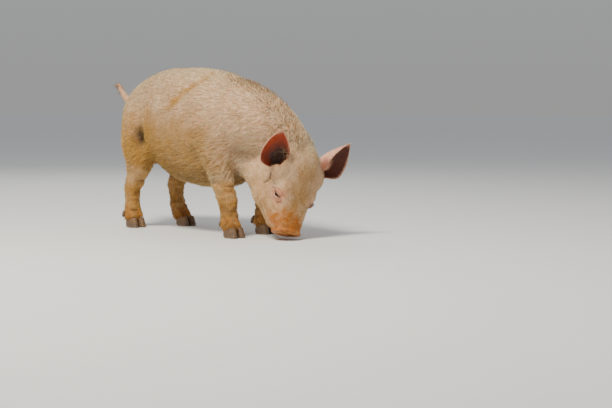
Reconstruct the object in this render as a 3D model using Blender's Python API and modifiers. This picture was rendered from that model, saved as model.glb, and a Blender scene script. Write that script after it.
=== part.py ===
"""A young domestic pig at life size, standing on its four feet and grazing with its nose to the ground.

The pig faces -Y, its left side is at +X, and its soles stand on z = 0. Its flesh is modelled as one
soft form, from lofted rings and rounded masses, and is then parted with thin cuts into the pieces that
a person would name. Claws, eyes, ears, tail and the disc of the snout are solids of their own.
"""

import math
from collections import namedtuple

import bmesh
import bpy
import numpy as np
from mathutils import Matrix, Vector

# Driving dimensions, in metres and degrees.
BACK_HEIGHT = 0.495
TRUNK_HALF_WIDTH = 0.132
GAP = 0.0004
WELD = 0.00005
VOXEL = 0.0048
FLESH_TRIANGLES = 2300
SHARP = math.radians(42)

# The head is modelled level, looking along -Y from the back of the skull, and is then hung in its pose.
HEAD_LENGTH = 0.250
HEAD_PITCH = 84.0
HEAD_ROLL = 15.0
HEAD_SIDE = 0.055
HEAD_FORWARD = 0.328
SNOUT_CLEARANCE = 0.003
SNOUT_THICKNESS = 0.014
SNOUT_RIM = 0.0430

EYE_RADIUS = 0.0105
EYE_ALONG = 0.148
EYE_SIDE = 0.0635
EYE_UP = 0.014

EAR_THICKNESS = 0.0042
# One half of an ear's leaf: its greatest width, its width at the root as a share of that, how high it is
# widest, and how far it rolls in at the tip and, beyond that, at the root, in degrees.
Half = namedtuple("Half", "width base peak roll_tip roll_root")
# An ear. "root" and "axis" are given as (away from the middle, forward, up) in the head's level frame,
# "curl" and "sweep" are how far the tip bends into the open side and outward, as shares of the length.
Ear = namedtuple("Ear", "length root axis opening inner outer taper curl sweep")
EARS = {
    -1: Ear(
        0.108, (0.087, 0.067, 0.007), (0.47, -0.82, 0.33), (0.07, 0.49, 0.88),
        Half(0.047, 0.42, 0.33, 22, 90), Half(0.063, 0.34, 0.35, 20, 41), 1.9, 0.13, -0.16,
    ),
    1: Ear(
        0.123, (0.088, 0.040, -0.003), (0.15, -0.73, 0.52), (-0.20, 0.44, 0.83),
        Half(0.070, 0.90, 0.29, 120, 60), Half(0.068, 0.52, 0.14, 32, 45), 1.34, 0.015, 0.32,
    ),
}

CLAW_OFFSET = 0.0133
CORONET_HEIGHT = 0.0245
CORONET_TILT = -18.0

SIDES = {-1: "right", 1: "left"}
SHOULDER = (0.155, 0.275)
SHOULDER_RADII = (0.062, 0.080, 0.150)
HAM = (-0.245, 0.300)
HAM_RADII = (0.066, 0.105, 0.150)

TAIL_LENGTH = 0.138

HIP_HEIGHT = 0.33
STANCE = {
    # leg: (side, how far forward the step sets the foot)
    "fore_right": (-1, -0.004),
    "fore_left": (1, -0.042),
    "hind_right": (-1, -0.024),
    "hind_left": (1, 0.047),
}

# A ring of a loft. Its plane faces forward at a pitch of 0 and down at 90. "front" is its reach towards
# the back line of the body, or towards the front of a leg, and "back" its reach the other way.
Ring = namedtuple("Ring", "side forward height pitch half_width front back fullness")


def at(side, forward, height):
    """The point that lies that far to the pig's left, forward and up."""
    return Vector((side, -forward, height))


def between(rings, steps):
    """The rings with more between them, on a smooth curve through every one of their sizes."""
    rows = np.array(rings, float)
    rows = np.vstack([2 * rows[0] - rows[1], rows, 2 * rows[-1] - rows[-2]])
    found = []
    for a, b, c, d in zip(rows, rows[1:], rows[2:], rows[3:]):
        for t in np.linspace(0, 1, steps, endpoint=False):
            cubic = (3 * b - a - 3 * c + d) * t**3 + (2 * a - 5 * b + 4 * c - d) * t**2
            found.append(Ring(*(0.5 * (cubic + (c - a) * t + 2 * b))))
    return found + [Ring(*rings[-1])]


def ring_points(ring, corners, grow):
    """The points of one ring, a rounded oblong that can reach further to its front than to its back."""
    centre = at(ring.side, ring.forward, ring.height)
    pitch = math.radians(ring.pitch)
    to_front = Vector((0, -math.sin(pitch), math.cos(pitch)))
    power = 2 / ring.fullness
    points = []
    for k in range(corners):
        angle = 2 * math.pi * k / corners
        across, along = math.cos(angle), math.sin(angle)
        reach = (ring.front if along > 0 else ring.back) + grow
        across = math.copysign(abs(across) ** power, across) * (ring.half_width + grow)
        along = math.copysign(abs(along) ** power, along) * reach
        points.append(centre + Vector((across, 0, 0)) + to_front * along)
    return points


def loft(bm, rings, steps=4, corners=32, grow=0.0, matrix=None):
    """Adds a closed tube through the rings."""
    matrix = matrix or Matrix.Identity(4)
    rows = [
        [bm.verts.new(matrix @ p) for p in ring_points(ring, corners, grow)]
        for ring in between(rings, steps)
    ]
    faces = [bm.faces.new(rows[0]), bm.faces.new(reversed(rows[-1]))]
    for one, two in zip(rows, rows[1:]):
        for k in range(corners):
            n = (k + 1) % corners
            faces.append(bm.faces.new((one[n], one[k], two[k], two[n])))
    bmesh.ops.recalc_face_normals(bm, faces=faces)


def mass(bm, centre, radii, turn=(0, 0, 0), matrix=None):
    """Adds a rounded mass of flesh, turned by degrees about X, Y and Z."""
    place = Matrix.Translation(centre)
    for axis, degrees in zip("XYZ", turn):
        place = place @ Matrix.Rotation(math.radians(degrees), 4, axis)
    place = (matrix or Matrix.Identity(4)) @ place @ Matrix.Diagonal((*radii, 1))
    bmesh.ops.create_icosphere(bm, subdivisions=3, radius=1, matrix=place)


def head_matrix():
    """Where the head's own level frame goes: its origin is the back of the skull, on the snout's axis."""
    pitch = Matrix.Rotation(math.radians(HEAD_PITCH), 4, "X")
    roll = Matrix.Rotation(math.radians(HEAD_ROLL), 4, "Y")
    turned = roll @ pitch
    reach = -(turned @ at(0, HEAD_LENGTH, 0)).z
    rim = SNOUT_RIM * math.sin(math.radians(HEAD_ROLL))
    return Matrix.Translation(at(HEAD_SIDE, HEAD_FORWARD, SNOUT_CLEARANCE + reach + rim)) @ turned


def object_from(bm, name, collection):
    mesh = bpy.data.meshes.new(name)
    bm.to_mesh(mesh)
    bm.free()
    made = bpy.data.objects.new(name, mesh)
    collection.objects.link(made)
    return made


def baked(obj):
    """Replaces the object's mesh by what its modifiers make of it."""
    bpy.context.view_layer.update()
    graph = bpy.context.evaluated_depsgraph_get()
    mesh = bpy.data.meshes.new_from_object(obj.evaluated_get(graph))
    obj.modifiers.clear()
    obj.data = mesh
    return obj


def boolean(obj, operation, other):
    cut = obj.modifiers.new(operation.title(), "BOOLEAN")
    cut.operation = operation
    cut.object = other
    cut.solver = "EXACT"
    return cleaned(baked(obj))


def shell_from(start):
    """Every vertex that edges join to this one."""
    found, waiting = {start}, [start]
    while waiting:
        for edge in waiting.pop().link_edges:
            for vert in edge.verts:
                if vert not in found:
                    found.add(vert)
                    waiting.append(vert)
    return found


def cleaned(obj):
    """Welds the slivers that a boolean leaves, and keeps the one largest shell, in triangles."""
    bm = bmesh.new()
    bm.from_mesh(obj.data)
    bmesh.ops.remove_doubles(bm, verts=bm.verts, dist=WELD)
    bmesh.ops.dissolve_degenerate(bm, dist=WELD / 2, edges=bm.edges)
    left, largest = set(bm.verts), set()
    while left:
        shell = shell_from(next(iter(left)))
        left -= shell
        largest = max(largest, shell, key=len)
    bmesh.ops.delete(bm, geom=[v for v in bm.verts if v not in largest], context="VERTS")
    bmesh.ops.triangulate(bm, faces=bm.faces)
    bm.to_mesh(obj.data)
    bm.free()
    return obj


# --- The flesh as one soft form --------------------------------------------------------------------

def trunk_rings():
    """From the tail end to the base of the neck."""
    top, wide = BACK_HEIGHT, TRUNK_HALF_WIDTH
    profile = [
        # forward, top, bottom, half width, fullness
        (-0.366, top - 0.130, 0.300, 0.028, 2.0),
        (-0.350, top - 0.098, 0.262, 0.058, 2.1),
        (-0.312, top - 0.060, 0.236, 0.084, 2.2),
        (-0.260, top - 0.030, 0.222, 0.098, 2.2),
        (-0.195, top - 0.008, 0.204, 0.103, 2.2),
        (-0.140, top - 0.001, 0.176, wide - 0.012, 2.3),
        (-0.080, top, 0.151, wide - 0.001, 2.35),
        (-0.010, top - 0.002, 0.139, wide + 0.002, 2.35),
        (0.065, top - 0.012, 0.136, wide - 0.003, 2.3),
        (0.125, top - 0.031, 0.146, wide - 0.014, 2.2),
        (0.170, top - 0.060, 0.170, wide - 0.034, 2.1),
        (0.195, top - 0.105, 0.220, wide - 0.074, 2.0),
    ]
    return [
        Ring(0, forward, (high + low) / 2, 0, half, (high - low) / 2, (high - low) / 2, full)
        for forward, high, low, half, full in profile
    ]


def neck_rings():
    """From inside the shoulders, down and round to the back of the skull."""
    return [
        Ring(0.000, 0.060, 0.312, 0, 0.112, 0.158, 0.152, 2.2),
        Ring(0.001, 0.125, 0.304, 6, 0.112, 0.155, 0.148, 2.2),
        Ring(0.005, 0.180, 0.294, 18, 0.107, 0.146, 0.138, 2.15),
        Ring(0.014, 0.228, 0.282, 35, 0.099, 0.131, 0.124, 2.1),
        Ring(0.029, 0.264, 0.262, 54, 0.092, 0.108, 0.116, 2.1),
        Ring(0.044, 0.292, 0.236, 72, 0.086, 0.086, 0.108, 2.15),
        Ring(0.050, 0.304, 0.200, 80, 0.078, 0.070, 0.100, 2.2),
    ]


def head_rings():
    """In the head's own frame, from the poll to the back of the snout's disc."""
    return [
        Ring(0, -0.042, 0, 0, 0.030, 0.020, 0.060, 2.0),
        Ring(0, -0.026, 0, 0, 0.056, 0.034, 0.090, 2.1),
        Ring(0, 0.006, 0, 0, 0.078, 0.051, 0.116, 2.2),
        Ring(0, 0.050, 0, 0, 0.090, 0.056, 0.134, 2.3),
        Ring(0, 0.095, 0, 0, 0.088, 0.050, 0.142, 2.4),
        Ring(0, 0.140, 0, 0, 0.074, 0.042, 0.130, 2.4),
        Ring(0, 0.170, 0, 0, 0.062, 0.037, 0.104, 2.4),
        Ring(0, 0.200, 0, 0, 0.052, 0.035, 0.078, 2.4),
        Ring(0, 0.222, 0, 0, 0.046, 0.034, 0.058, 2.4),
        Ring(0, HEAD_LENGTH - SNOUT_THICKNESS, 0, 0, 0.0420, 0.034, 0.036, 2.4),
    ]


def fore_leg_rings(side):
    """From inside the shoulder down to the claws, for a foot set down at STANCE."""
    return [
        Ring(side * 0.070, 0.150, 0.330, 82, 0.045, 0.065, 0.068, 2.2),
        Ring(side * 0.082, 0.152, 0.260, 84, 0.045, 0.064, 0.060, 2.2),
        Ring(side * 0.085, 0.154, 0.205, 86, 0.039, 0.048, 0.045, 2.2),
        Ring(side * 0.083, 0.163, 0.165, 83, 0.0325, 0.037, 0.034, 2.2),
        Ring(side * 0.080, 0.174, 0.128, 82, 0.0285, 0.031, 0.028, 2.2),
        Ring(side * 0.078, 0.184, 0.100, 84, 0.0285, 0.031, 0.027, 2.3),
        Ring(side * 0.077, 0.188, 0.076, 84, 0.0255, 0.0250, 0.0255, 2.3),
        Ring(side * 0.076, 0.192, 0.054, 76, 0.0272, 0.0255, 0.0285, 2.3),
        Ring(side * 0.076, 0.201, 0.034, 66, 0.0262, 0.024, 0.026, 2.3),
        Ring(side * 0.076, 0.207, 0.018, 66, 0.0240, 0.021, 0.022, 2.3),
    ]


def hind_leg_rings(side):
    """From inside the ham down to the claws."""
    return [
        Ring(side * 0.060, -0.242, 0.370, 88, 0.045, 0.078, 0.078, 2.2),
        Ring(side * 0.074, -0.228, 0.300, 92, 0.046, 0.080, 0.078, 2.2),
        Ring(side * 0.082, -0.222, 0.240, 100, 0.040, 0.066, 0.076, 2.2),
        Ring(side * 0.082, -0.226, 0.195, 110, 0.032, 0.046, 0.056, 2.2),
        Ring(side * 0.080, -0.243, 0.158, 112, 0.0265, 0.031, 0.036, 2.2),
        Ring(side * 0.078, -0.259, 0.124, 100, 0.0245, 0.027, 0.033, 2.3),
        Ring(side * 0.077, -0.261, 0.092, 86, 0.0220, 0.023, 0.025, 2.3),
        Ring(side * 0.076, -0.257, 0.058, 78, 0.0255, 0.0245, 0.0275, 2.3),
        Ring(side * 0.076, -0.248, 0.036, 66, 0.0252, 0.0235, 0.025, 2.3),
        Ring(side * 0.076, -0.241, 0.018, 66, 0.0235, 0.021, 0.022, 2.3),
    ]


def leg_rings(leg):
    """The leg's rings, leaned forward or back from the hip or shoulder by its step."""
    side, step = STANCE[leg]
    rings = fore_leg_rings(side) if leg.startswith("fore") else hind_leg_rings(side)
    return [
        ring._replace(forward=ring.forward + step * max(0, 1 - ring.height / HIP_HEIGHT) ** 3)
        for ring in rings
    ]


def body_masses(bm):
    """Muscle and fat that stand out from the lofts."""
    for side in (-1, 1):
        mass(bm, at(side * 0.065, -0.250, 0.315), (0.047, 0.070, 0.096))
        mass(bm, at(side * 0.070, 0.150, 0.305), (0.047, 0.070, 0.108), (10, 0, 0))
        mass(bm, at(side * 0.076, -0.172, 0.252), (0.020, 0.058, 0.034), (24, 0, 0))
    mass(bm, at(0.004, 0.200, 0.222), (0.078, 0.052, 0.056))


def head_masses(bm, matrix):
    """Jowls, cheeks, brows, poll and lips, in the head's own frame."""
    for side in (-1, 1):
        mass(bm, at(side * 0.055, 0.060, -0.078), (0.038, 0.066, 0.066), matrix=matrix)
        mass(bm, at(side * 0.048, 0.124, -0.050), (0.031, 0.052, 0.056), matrix=matrix)
        mass(bm, at(side * 0.050, 0.120, 0.026), (0.024, 0.036, 0.018), matrix=matrix)
        mass(bm, at(side * 0.068, 0.066, 0.008), (0.038, 0.050, 0.038), matrix=matrix)
        mass(bm, at(side * 0.032, 0.198, -0.022), (0.022, 0.042, 0.026), matrix=matrix)
    mass(bm, at(0, 0.050, 0.034), (0.060, 0.056, 0.026), matrix=matrix)
    mass(bm, at(0, 0.203, -0.052), (0.030, 0.030, 0.026), matrix=matrix)


def tail_rings():
    """The tail leaves the rump backwards, turns up and ends in a small hook."""
    found = []
    forward, height, steps = -0.338, 0.388, 10
    for k in range(steps + 1):
        t = k / steps
        turn = -15 + 75 * min(1, t / 0.75)
        radius = 0.0150 * (1 - t) ** 1.3 + 0.0062
        side = 0.010 * math.sin(math.pi * t)
        found.append(Ring(side, forward, height, 180 + turn, radius, radius, radius, 2))
        forward -= math.cos(math.radians(turn)) * TAIL_LENGTH / steps
        height += math.sin(math.radians(turn)) * TAIL_LENGTH / steps
    return found


def flesh_form(collection):
    """Trunk, neck, head and legs, melted together and thinned out to a light mesh."""
    bm = bmesh.new()
    loft(bm, trunk_rings(), corners=48)
    loft(bm, neck_rings(), corners=40)
    loft(bm, head_rings(), corners=40, matrix=head_matrix())
    for leg in STANCE:
        loft(bm, leg_rings(leg))
    body_masses(bm)
    head_masses(bm, head_matrix())
    flesh = object_from(bm, "flesh", collection)
    melt = flesh.modifiers.new("Melt", "REMESH")
    melt.mode = "VOXEL"
    melt.voxel_size = VOXEL
    soften = flesh.modifiers.new("Soften", "SMOOTH")
    soften.factor = 0.5
    soften.iterations = 8
    baked(flesh)
    thin = flesh.modifiers.new("Thin", "DECIMATE")
    thin.ratio = FLESH_TRIANGLES / (2 * len(flesh.data.polygons))
    thin.use_collapse_triangulate = True
    return baked(flesh)


# --- Solids of their own ---------------------------------------------------------------------------

def ear_width(ear, half, t):
    """How far this half of the leaf reaches from its axis: it widens up to the peak and then runs to a point."""
    if t < half.peak:
        return half.width * (half.base + (1 - half.base) * math.sin(math.pi / 2 * max(t, 0) / half.peak))
    return max(half.width * (1 - ((t - half.peak) / (1 - half.peak)) ** ear.taper), 0.003)


def ear_leaf(side, collection):
    """A broad leaf of gristle and skin, rolled in at its root and open towards the front."""
    ear = EARS[side]
    bm = bmesh.new()
    bmesh.ops.create_grid(bm, x_segments=8, y_segments=9, size=1)
    axis = at(side * ear.axis[0], ear.axis[1], ear.axis[2]).normalized()
    opening = at(side * ear.opening[0], ear.opening[1], ear.opening[2])
    opening = (opening - axis * opening.dot(axis)).normalized()
    outward = axis.cross(opening)
    if outward.x * side < 0:
        outward.negate()
    root = at(side * ear.root[0], ear.root[1], ear.root[2])
    for vert in bm.verts:
        c, t = vert.co.x, -0.08 + 1.08 * (vert.co.y + 1) / 2
        above = max(t, 0)
        half = ear.outer if c > 0 else ear.inner
        wide = ear_width(ear, half, t)
        roll = math.radians(half.roll_tip + half.roll_root * (1 - above) ** 1.6)
        across = math.sin(c * roll) / roll * wide + ear.sweep * ear.length * above**2
        cup = (1 - math.cos(c * roll)) / roll * wide + ear.curl * ear.length * above**2.5
        vert.co = root + axis * ear.length * t + outward * across + opening * cup
    bmesh.ops.transform(bm, matrix=head_matrix(), verts=bm.verts)
    leaf = object_from(bm, f"ear_{SIDES[side]}", collection)
    thick = leaf.modifiers.new("Thick", "SOLIDIFY")
    thick.thickness = EAR_THICKNESS
    thick.offset = 0
    return baked(leaf)


def eye_centre(side):
    return head_matrix() @ at(side * EYE_SIDE, EYE_ALONG, EYE_UP)


def ball(name, centre, radius, collection, segments=12, rows=8):
    bm = bmesh.new()
    place = Matrix.Translation(centre)
    bmesh.ops.create_uvsphere(bm, u_segments=segments, v_segments=rows, radius=radius, matrix=place)
    return object_from(bm, name, collection)


def snout(collection):
    """The disc of the snout, a little wider at its rim than behind it, with two nostrils."""
    end, rim = HEAD_LENGTH, SNOUT_RIM
    bm = bmesh.new()
    rings = [
        Ring(0, end - SNOUT_THICKNESS + GAP, 0.000, 0, rim - 0.002, 0.0335, 0.0355, 2.4),
        Ring(0, end - 0.0085, 0.0005, 0, rim, 0.0365, 0.0370, 2.4),
        Ring(0, end - 0.0030, 0.0010, 0, rim - 0.0005, 0.0365, 0.0365, 2.4),
        Ring(0, end, 0.0010, 0, rim - 0.0050, 0.0320, 0.0320, 2.4),
    ]
    loft(bm, rings, steps=1, corners=24, matrix=head_matrix())
    disc = object_from(bm, "snout", collection)
    for side in (-1, 1):
        bm = bmesh.new()
        rings = [
            Ring(side * 0.0130, end - 0.0095, 0.001, 0, 0.0040, 0.0060, 0.0060, 2),
            Ring(side * 0.0135, end + 0.0040, 0.001, 0, 0.0058, 0.0085, 0.0085, 2),
        ]
        loft(bm, rings, steps=1, corners=9, matrix=head_matrix())
        boolean(disc, "DIFFERENCE", cutter_from(bm, f"nostril_{SIDES[side]}"))
    return disc


def tail(collection):
    bm = bmesh.new()
    loft(bm, tail_rings(), steps=1, corners=8)
    return object_from(bm, "tail", collection)


def foot_place(leg):
    """The middle of the coronet, from the leg's last ring."""
    last = leg_rings(leg)[-1]
    return last.side, last.forward


def claw(leg, inner, collection):
    """One of the two main claws: upright at the heel, long in the toe, flat underneath."""
    side, forward = foot_place(leg)
    turn = -1 if inner else 1
    x = side + turn * CLAW_OFFSET * (1 if side > 0 else -1)
    spread = turn * 0.0012 * (1 if side > 0 else -1)
    bm = bmesh.new()
    rings = [
        Ring(x, forward - 0.0005, CORONET_HEIGHT - GAP, 72, 0.0122, 0.0235, 0.0215, 2.3),
        Ring(x + spread * 0.5, forward + 0.0020, 0.0125, 80, 0.0128, 0.0270, 0.0230, 2.3),
        Ring(x + spread, forward + 0.0050, 0.0030, 90, 0.0128, 0.0290, 0.0235, 2.3),
        Ring(x + spread, forward + 0.0050, 0.0000, 90, 0.0115, 0.0270, 0.0215, 2.3),
    ]
    loft(bm, rings, steps=1, corners=12)
    place = "inner" if inner else "outer"
    return object_from(bm, f"claw_{leg}_{place}", collection)


def dewclaw(leg, inner, collection):
    """One of the two small claws high behind the foot."""
    side, forward = foot_place(leg)
    turn = (-1 if inner else 1) * (1 if side > 0 else -1)
    x = side + turn * 0.0165
    bm = bmesh.new()
    rings = [
        Ring(x - turn * 0.002, forward - 0.022, 0.054, 108, 0.0066, 0.0070, 0.0070, 2),
        Ring(x, forward - 0.029, 0.045, 112, 0.0072, 0.0078, 0.0078, 2),
        Ring(x + turn * 0.001, forward - 0.0355, 0.033, 112, 0.0052, 0.0052, 0.0052, 2),
        Ring(x + turn * 0.001, forward - 0.0370, 0.0295, 112, 0.0022, 0.0024, 0.0024, 2),
    ]
    loft(bm, rings, steps=1, corners=8)
    place = "inner" if inner else "outer"
    return object_from(bm, f"dewclaw_{leg}_{place}", collection)


# --- Parting the flesh -----------------------------------------------------------------------------

def cutter_from(bm, name):
    """A solid that only cuts: kept in its own collection and out of renders."""
    cutters = bpy.data.collections.get("cutters") or bpy.data.collections.new("cutters")
    if cutters.name not in bpy.context.scene.collection.children:
        bpy.context.scene.collection.children.link(cutters)
    made = object_from(bm, f"cut_{name}", cutters)
    made.hide_render = True
    made.display_type = "WIRE"
    return made


def carve(flesh, name, shape, collection):
    """Parts off the flesh inside a shape. shape(grow) gives its solid, so that a gap can be left."""
    piece = bpy.data.objects.new(name, flesh.data.copy())
    collection.objects.link(piece)
    boolean(piece, "INTERSECT", cutter_from(shape(0.0), name))
    boolean(flesh, "DIFFERENCE", cutter_from(shape(GAP), f"{name}_gap"))
    return piece


def leg_shape(leg, first, last, extra=0.012):
    def shape(grow):
        bm = bmesh.new()
        rings = leg_rings(leg)[first:last + 1]
        opening = rings[0]
        pitch = math.radians(opening.pitch)
        raised = opening._replace(
            forward=opening.forward - math.cos(pitch) * grow,
            height=opening.height + math.sin(pitch) * grow,
        )
        below = rings[-1]._replace(height=rings[-1].height - 0.03)
        loft(bm, [raised] + rings[1:] + [below], steps=1, corners=14, grow=extra + grow)
        return bm
    return shape


def mound_shape(centre, radii):
    def shape(grow):
        bm = bmesh.new()
        place = Matrix.Translation(centre) @ Matrix.Diagonal((*[r + grow for r in radii], 1))
        bmesh.ops.create_uvsphere(bm, u_segments=14, v_segments=9, radius=1, matrix=place)
        return bm
    return shape


def head_shape(grow):
    """The whole head from the poll on, a little wider than its flesh."""
    bm = bmesh.new()
    rings = [ring for ring in head_rings() if ring.forward > 0.13]
    start = Ring(0, 0.018 - grow, 0, -22, 0.106, 0.080, 0.170, 2.2)
    end = rings[-1]._replace(forward=HEAD_LENGTH + 0.02)
    loft(bm, [start] + rings + [end], steps=1, corners=18, grow=0.020 + grow, matrix=head_matrix())
    return bm


def prism(points, half, grow, matrix):
    """A solid between two equal outlines in the (along, up) plane of the head."""
    middle = sum((Vector(p) for p in points), Vector((0, 0))) / len(points)
    bm = bmesh.new()
    sides = []
    for x in (-half, half):
        row = []
        for p in points:
            out = (Vector(p) - middle).normalized() * grow * 1.3
            row.append(bm.verts.new(matrix @ at(x, p[0] + out.x, p[1] + out.y)))
        sides.append(row)
    faces = [bm.faces.new(sides[0]), bm.faces.new(sides[1][::-1])]
    for k in range(len(points)):
        n = (k + 1) % len(points)
        faces.append(bm.faces.new((sides[0][n], sides[0][k], sides[1][k], sides[1][n])))
    bmesh.ops.recalc_face_normals(bm, faces=faces)
    return bm


def jaw_shape(grow):
    """What lies under the line of the lips and in front of the angle of the jaw."""
    end = HEAD_LENGTH - SNOUT_THICKNESS
    outline = [(end + 0.03, -0.0255), (end - 0.02, -0.0275), (0.182, -0.033), (0.150, -0.0385),
               (0.125, -0.060), (0.085, -0.100), (0.075, -0.150), (end + 0.03, -0.150)]
    return prism(outline, 0.12, grow, head_matrix())


def front_shape():
    """Everything in front of the flesh of the muzzle, where the disc of the snout sits."""
    bm = bmesh.new()
    place = head_matrix() @ Matrix.Translation(at(0, HEAD_LENGTH - SNOUT_THICKNESS + 0.05, 0))
    bmesh.ops.create_cube(bm, size=0.1, matrix=place @ Matrix.Diagonal((1.6, 1, 1.6, 1)))
    return bm


def below_shape(leg):
    """Everything under the coronet of one foot, which the claws replace."""
    side, forward = foot_place(leg)
    bm = bmesh.new()
    tilt = Matrix.Rotation(math.radians(CORONET_TILT), 4, "X")
    place = Matrix.Translation(at(side, forward, CORONET_HEIGHT)) @ tilt
    place = place @ Matrix.Translation((0, 0, -0.03)) @ Matrix.Diagonal((0.09, 0.13, 0.06, 1))
    bmesh.ops.create_cube(bm, size=1, matrix=place)
    return bm


def inflated(flesh):
    """A copy of the flesh that stands a gap's width proud of it, to cut what sits on it."""
    bm = bmesh.new()
    bm.from_mesh(flesh.data)
    for vert in bm.verts:
        vert.co += vert.normal * GAP
    return cutter_from(bm, "flesh_grown")


def neck_shape(grow):
    """What lies in front of the shoulders."""
    bm = bmesh.new()
    place = Matrix.Translation(at(0, 0.190 - grow, 0.300)) @ Matrix.Rotation(math.radians(-16), 4, "X")
    place = place @ Matrix.Translation((0, -0.15, 0)) @ Matrix.Diagonal((0.40, 0.30, 0.60, 1))
    bmesh.ops.create_cube(bm, size=1, matrix=place)
    return bm


def materials(collection):
    colours = {
        "eye": (0.03, 0.02, 0.018), "claw": (0.09, 0.065, 0.05), "dewclaw": (0.12, 0.085, 0.06),
        "snout": (0.62, 0.30, 0.25), "ear": (0.66, 0.36, 0.31), "lower": (0.63, 0.40, 0.30),
        "head": (0.72, 0.47, 0.39), "forefoot": (0.55, 0.38, 0.25), "hindfoot": (0.58, 0.40, 0.28),
    }
    for obj in collection.objects:
        made = bpy.data.materials.new(obj.name)
        made.use_nodes = True
        shader = made.node_tree.nodes["Principled BSDF"]
        colour = colours.get(obj.name.split("_")[0], (0.78, 0.54, 0.46))
        shader.inputs["Base Color"].default_value = (*colour, 1)
        shader.inputs["Roughness"].default_value = 0.25 if obj.name.startswith("eye") else 0.7
        obj.data.materials.clear()
        obj.data.materials.append(made)
        obj.data.shade_smooth()
        obj.data.set_sharp_from_angle(angle=SHARP)


def settle(collection):
    """Moves everything so that the middle of the underside of its box is the origin."""
    corners = np.array([v.co for obj in collection.objects for v in obj.data.vertices])
    low, high = corners.min(axis=0), corners.max(axis=0)
    shift = Vector((-(low[0] + high[0]) / 2, -(low[1] + high[1]) / 2, -low[2]))
    for obj in collection.objects:
        obj.data.transform(Matrix.Translation(shift))


def main():
    for obj in list(bpy.data.objects):
        bpy.data.objects.remove(obj)
    pig = bpy.data.collections.new("grazing_pig")
    bpy.context.scene.collection.children.link(pig)
    flesh = flesh_form(pig)
    for leg in STANCE:
        boolean(flesh, "DIFFERENCE", cutter_from(below_shape(leg), f"below_{leg}"))
        for inner in (True, False):
            claw(leg, inner, pig)
    boolean(flesh, "DIFFERENCE", cutter_from(front_shape(), "muzzle_front"))
    grown = inflated(flesh)
    for side in (-1, 1):
        boolean(ear_leaf(side, pig), "DIFFERENCE", grown)
    boolean(tail(pig), "DIFFERENCE", grown)
    for leg in STANCE:
        for inner in (True, False):
            boolean(dewclaw(leg, inner, pig), "DIFFERENCE", grown)
    for side in (-1, 1):
        ball(f"eye_{SIDES[side]}", eye_centre(side), EYE_RADIUS, pig)
        bm = bmesh.new()
        place = Matrix.Translation(eye_centre(side))
        bmesh.ops.create_uvsphere(bm, u_segments=12, v_segments=8, radius=EYE_RADIUS + GAP, matrix=place)
        boolean(flesh, "DIFFERENCE", cutter_from(bm, f"socket_{SIDES[side]}"))
    snout(pig)
    head = carve(flesh, "head", head_shape, pig)
    carve(head, "lower_jaw", jaw_shape, pig)
    for leg in STANCE:
        fore = leg.startswith("fore")
        place = leg.split("_")[1]
        carve(flesh, f"{'forefoot' if fore else 'hindfoot'}_{place}", leg_shape(leg, 5, 9), pig)
        carve(flesh, f"{'forearm' if fore else 'shank'}_{place}", leg_shape(leg, 3, 5), pig)
    for side in (-1, 1):
        carve(flesh, f"shoulder_{SIDES[side]}", mound_shape(at(side * 0.098, *SHOULDER), SHOULDER_RADII), pig)
        carve(flesh, f"ham_{SIDES[side]}", mound_shape(at(side * 0.092, *HAM), HAM_RADII), pig)
    carve(flesh, "neck", neck_shape, pig)
    flesh.name = "trunk"
    materials(pig)
    settle(pig)


main()
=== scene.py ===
"""The looks of the grazing pig: one skin over the body, its coat of bristles, eyes, hoofs and the stage."""

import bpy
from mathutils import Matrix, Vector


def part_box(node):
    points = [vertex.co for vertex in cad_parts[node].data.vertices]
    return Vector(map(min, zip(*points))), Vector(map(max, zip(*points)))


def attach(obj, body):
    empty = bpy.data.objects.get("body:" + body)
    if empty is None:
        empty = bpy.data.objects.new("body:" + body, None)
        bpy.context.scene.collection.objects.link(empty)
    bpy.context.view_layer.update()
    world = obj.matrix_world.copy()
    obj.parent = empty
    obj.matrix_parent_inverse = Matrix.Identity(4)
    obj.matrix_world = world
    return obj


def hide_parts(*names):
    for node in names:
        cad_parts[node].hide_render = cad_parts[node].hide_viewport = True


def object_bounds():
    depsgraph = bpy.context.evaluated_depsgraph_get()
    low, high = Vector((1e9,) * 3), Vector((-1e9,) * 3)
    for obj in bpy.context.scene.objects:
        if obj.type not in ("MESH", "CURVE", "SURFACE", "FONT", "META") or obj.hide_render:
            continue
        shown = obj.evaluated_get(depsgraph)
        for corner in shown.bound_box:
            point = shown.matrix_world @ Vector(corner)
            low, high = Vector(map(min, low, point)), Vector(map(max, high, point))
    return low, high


bl_info = {
    "name": "Grazing pig",
    "version": (1, 0, 0),
    "blender": (4, 5, 0),
    "location": "View3D > Sidebar > Pig",
    "description": "Skin, coat, eyes, hoofs and stage for a life-size model of a grazing pig",
    "category": "Object",
}

import math
from collections import namedtuple
from contextlib import contextmanager
from itertools import product

import bmesh
import bpy
import numpy as np
from bpy.props import FloatProperty, FloatVectorProperty, IntProperty, PointerProperty
from bpy.types import Operator, Panel, PropertyGroup
from mathutils import Matrix, Vector
from mathutils.bvhtree import BVHTree
from mathutils.kdtree import KDTree

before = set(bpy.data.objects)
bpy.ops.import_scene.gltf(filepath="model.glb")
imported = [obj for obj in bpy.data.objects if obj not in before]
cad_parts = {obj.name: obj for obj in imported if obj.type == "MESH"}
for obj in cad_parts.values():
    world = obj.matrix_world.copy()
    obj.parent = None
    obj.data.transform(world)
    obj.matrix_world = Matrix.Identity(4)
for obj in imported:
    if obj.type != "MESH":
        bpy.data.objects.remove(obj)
CAD_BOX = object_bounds()

SIDES = {-1: "right", 1: "left"}
NODES = sorted(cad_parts)
FLESH = [n for n in NODES if not n.startswith(("eye", "claw", "dewclaw"))]
HORN = [n for n in NODES if n.startswith(("claw", "dewclaw"))]
REGIONS = "trunk neck head snout tail ear_left ear_right shoulder ham limb foot".split()
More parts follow.
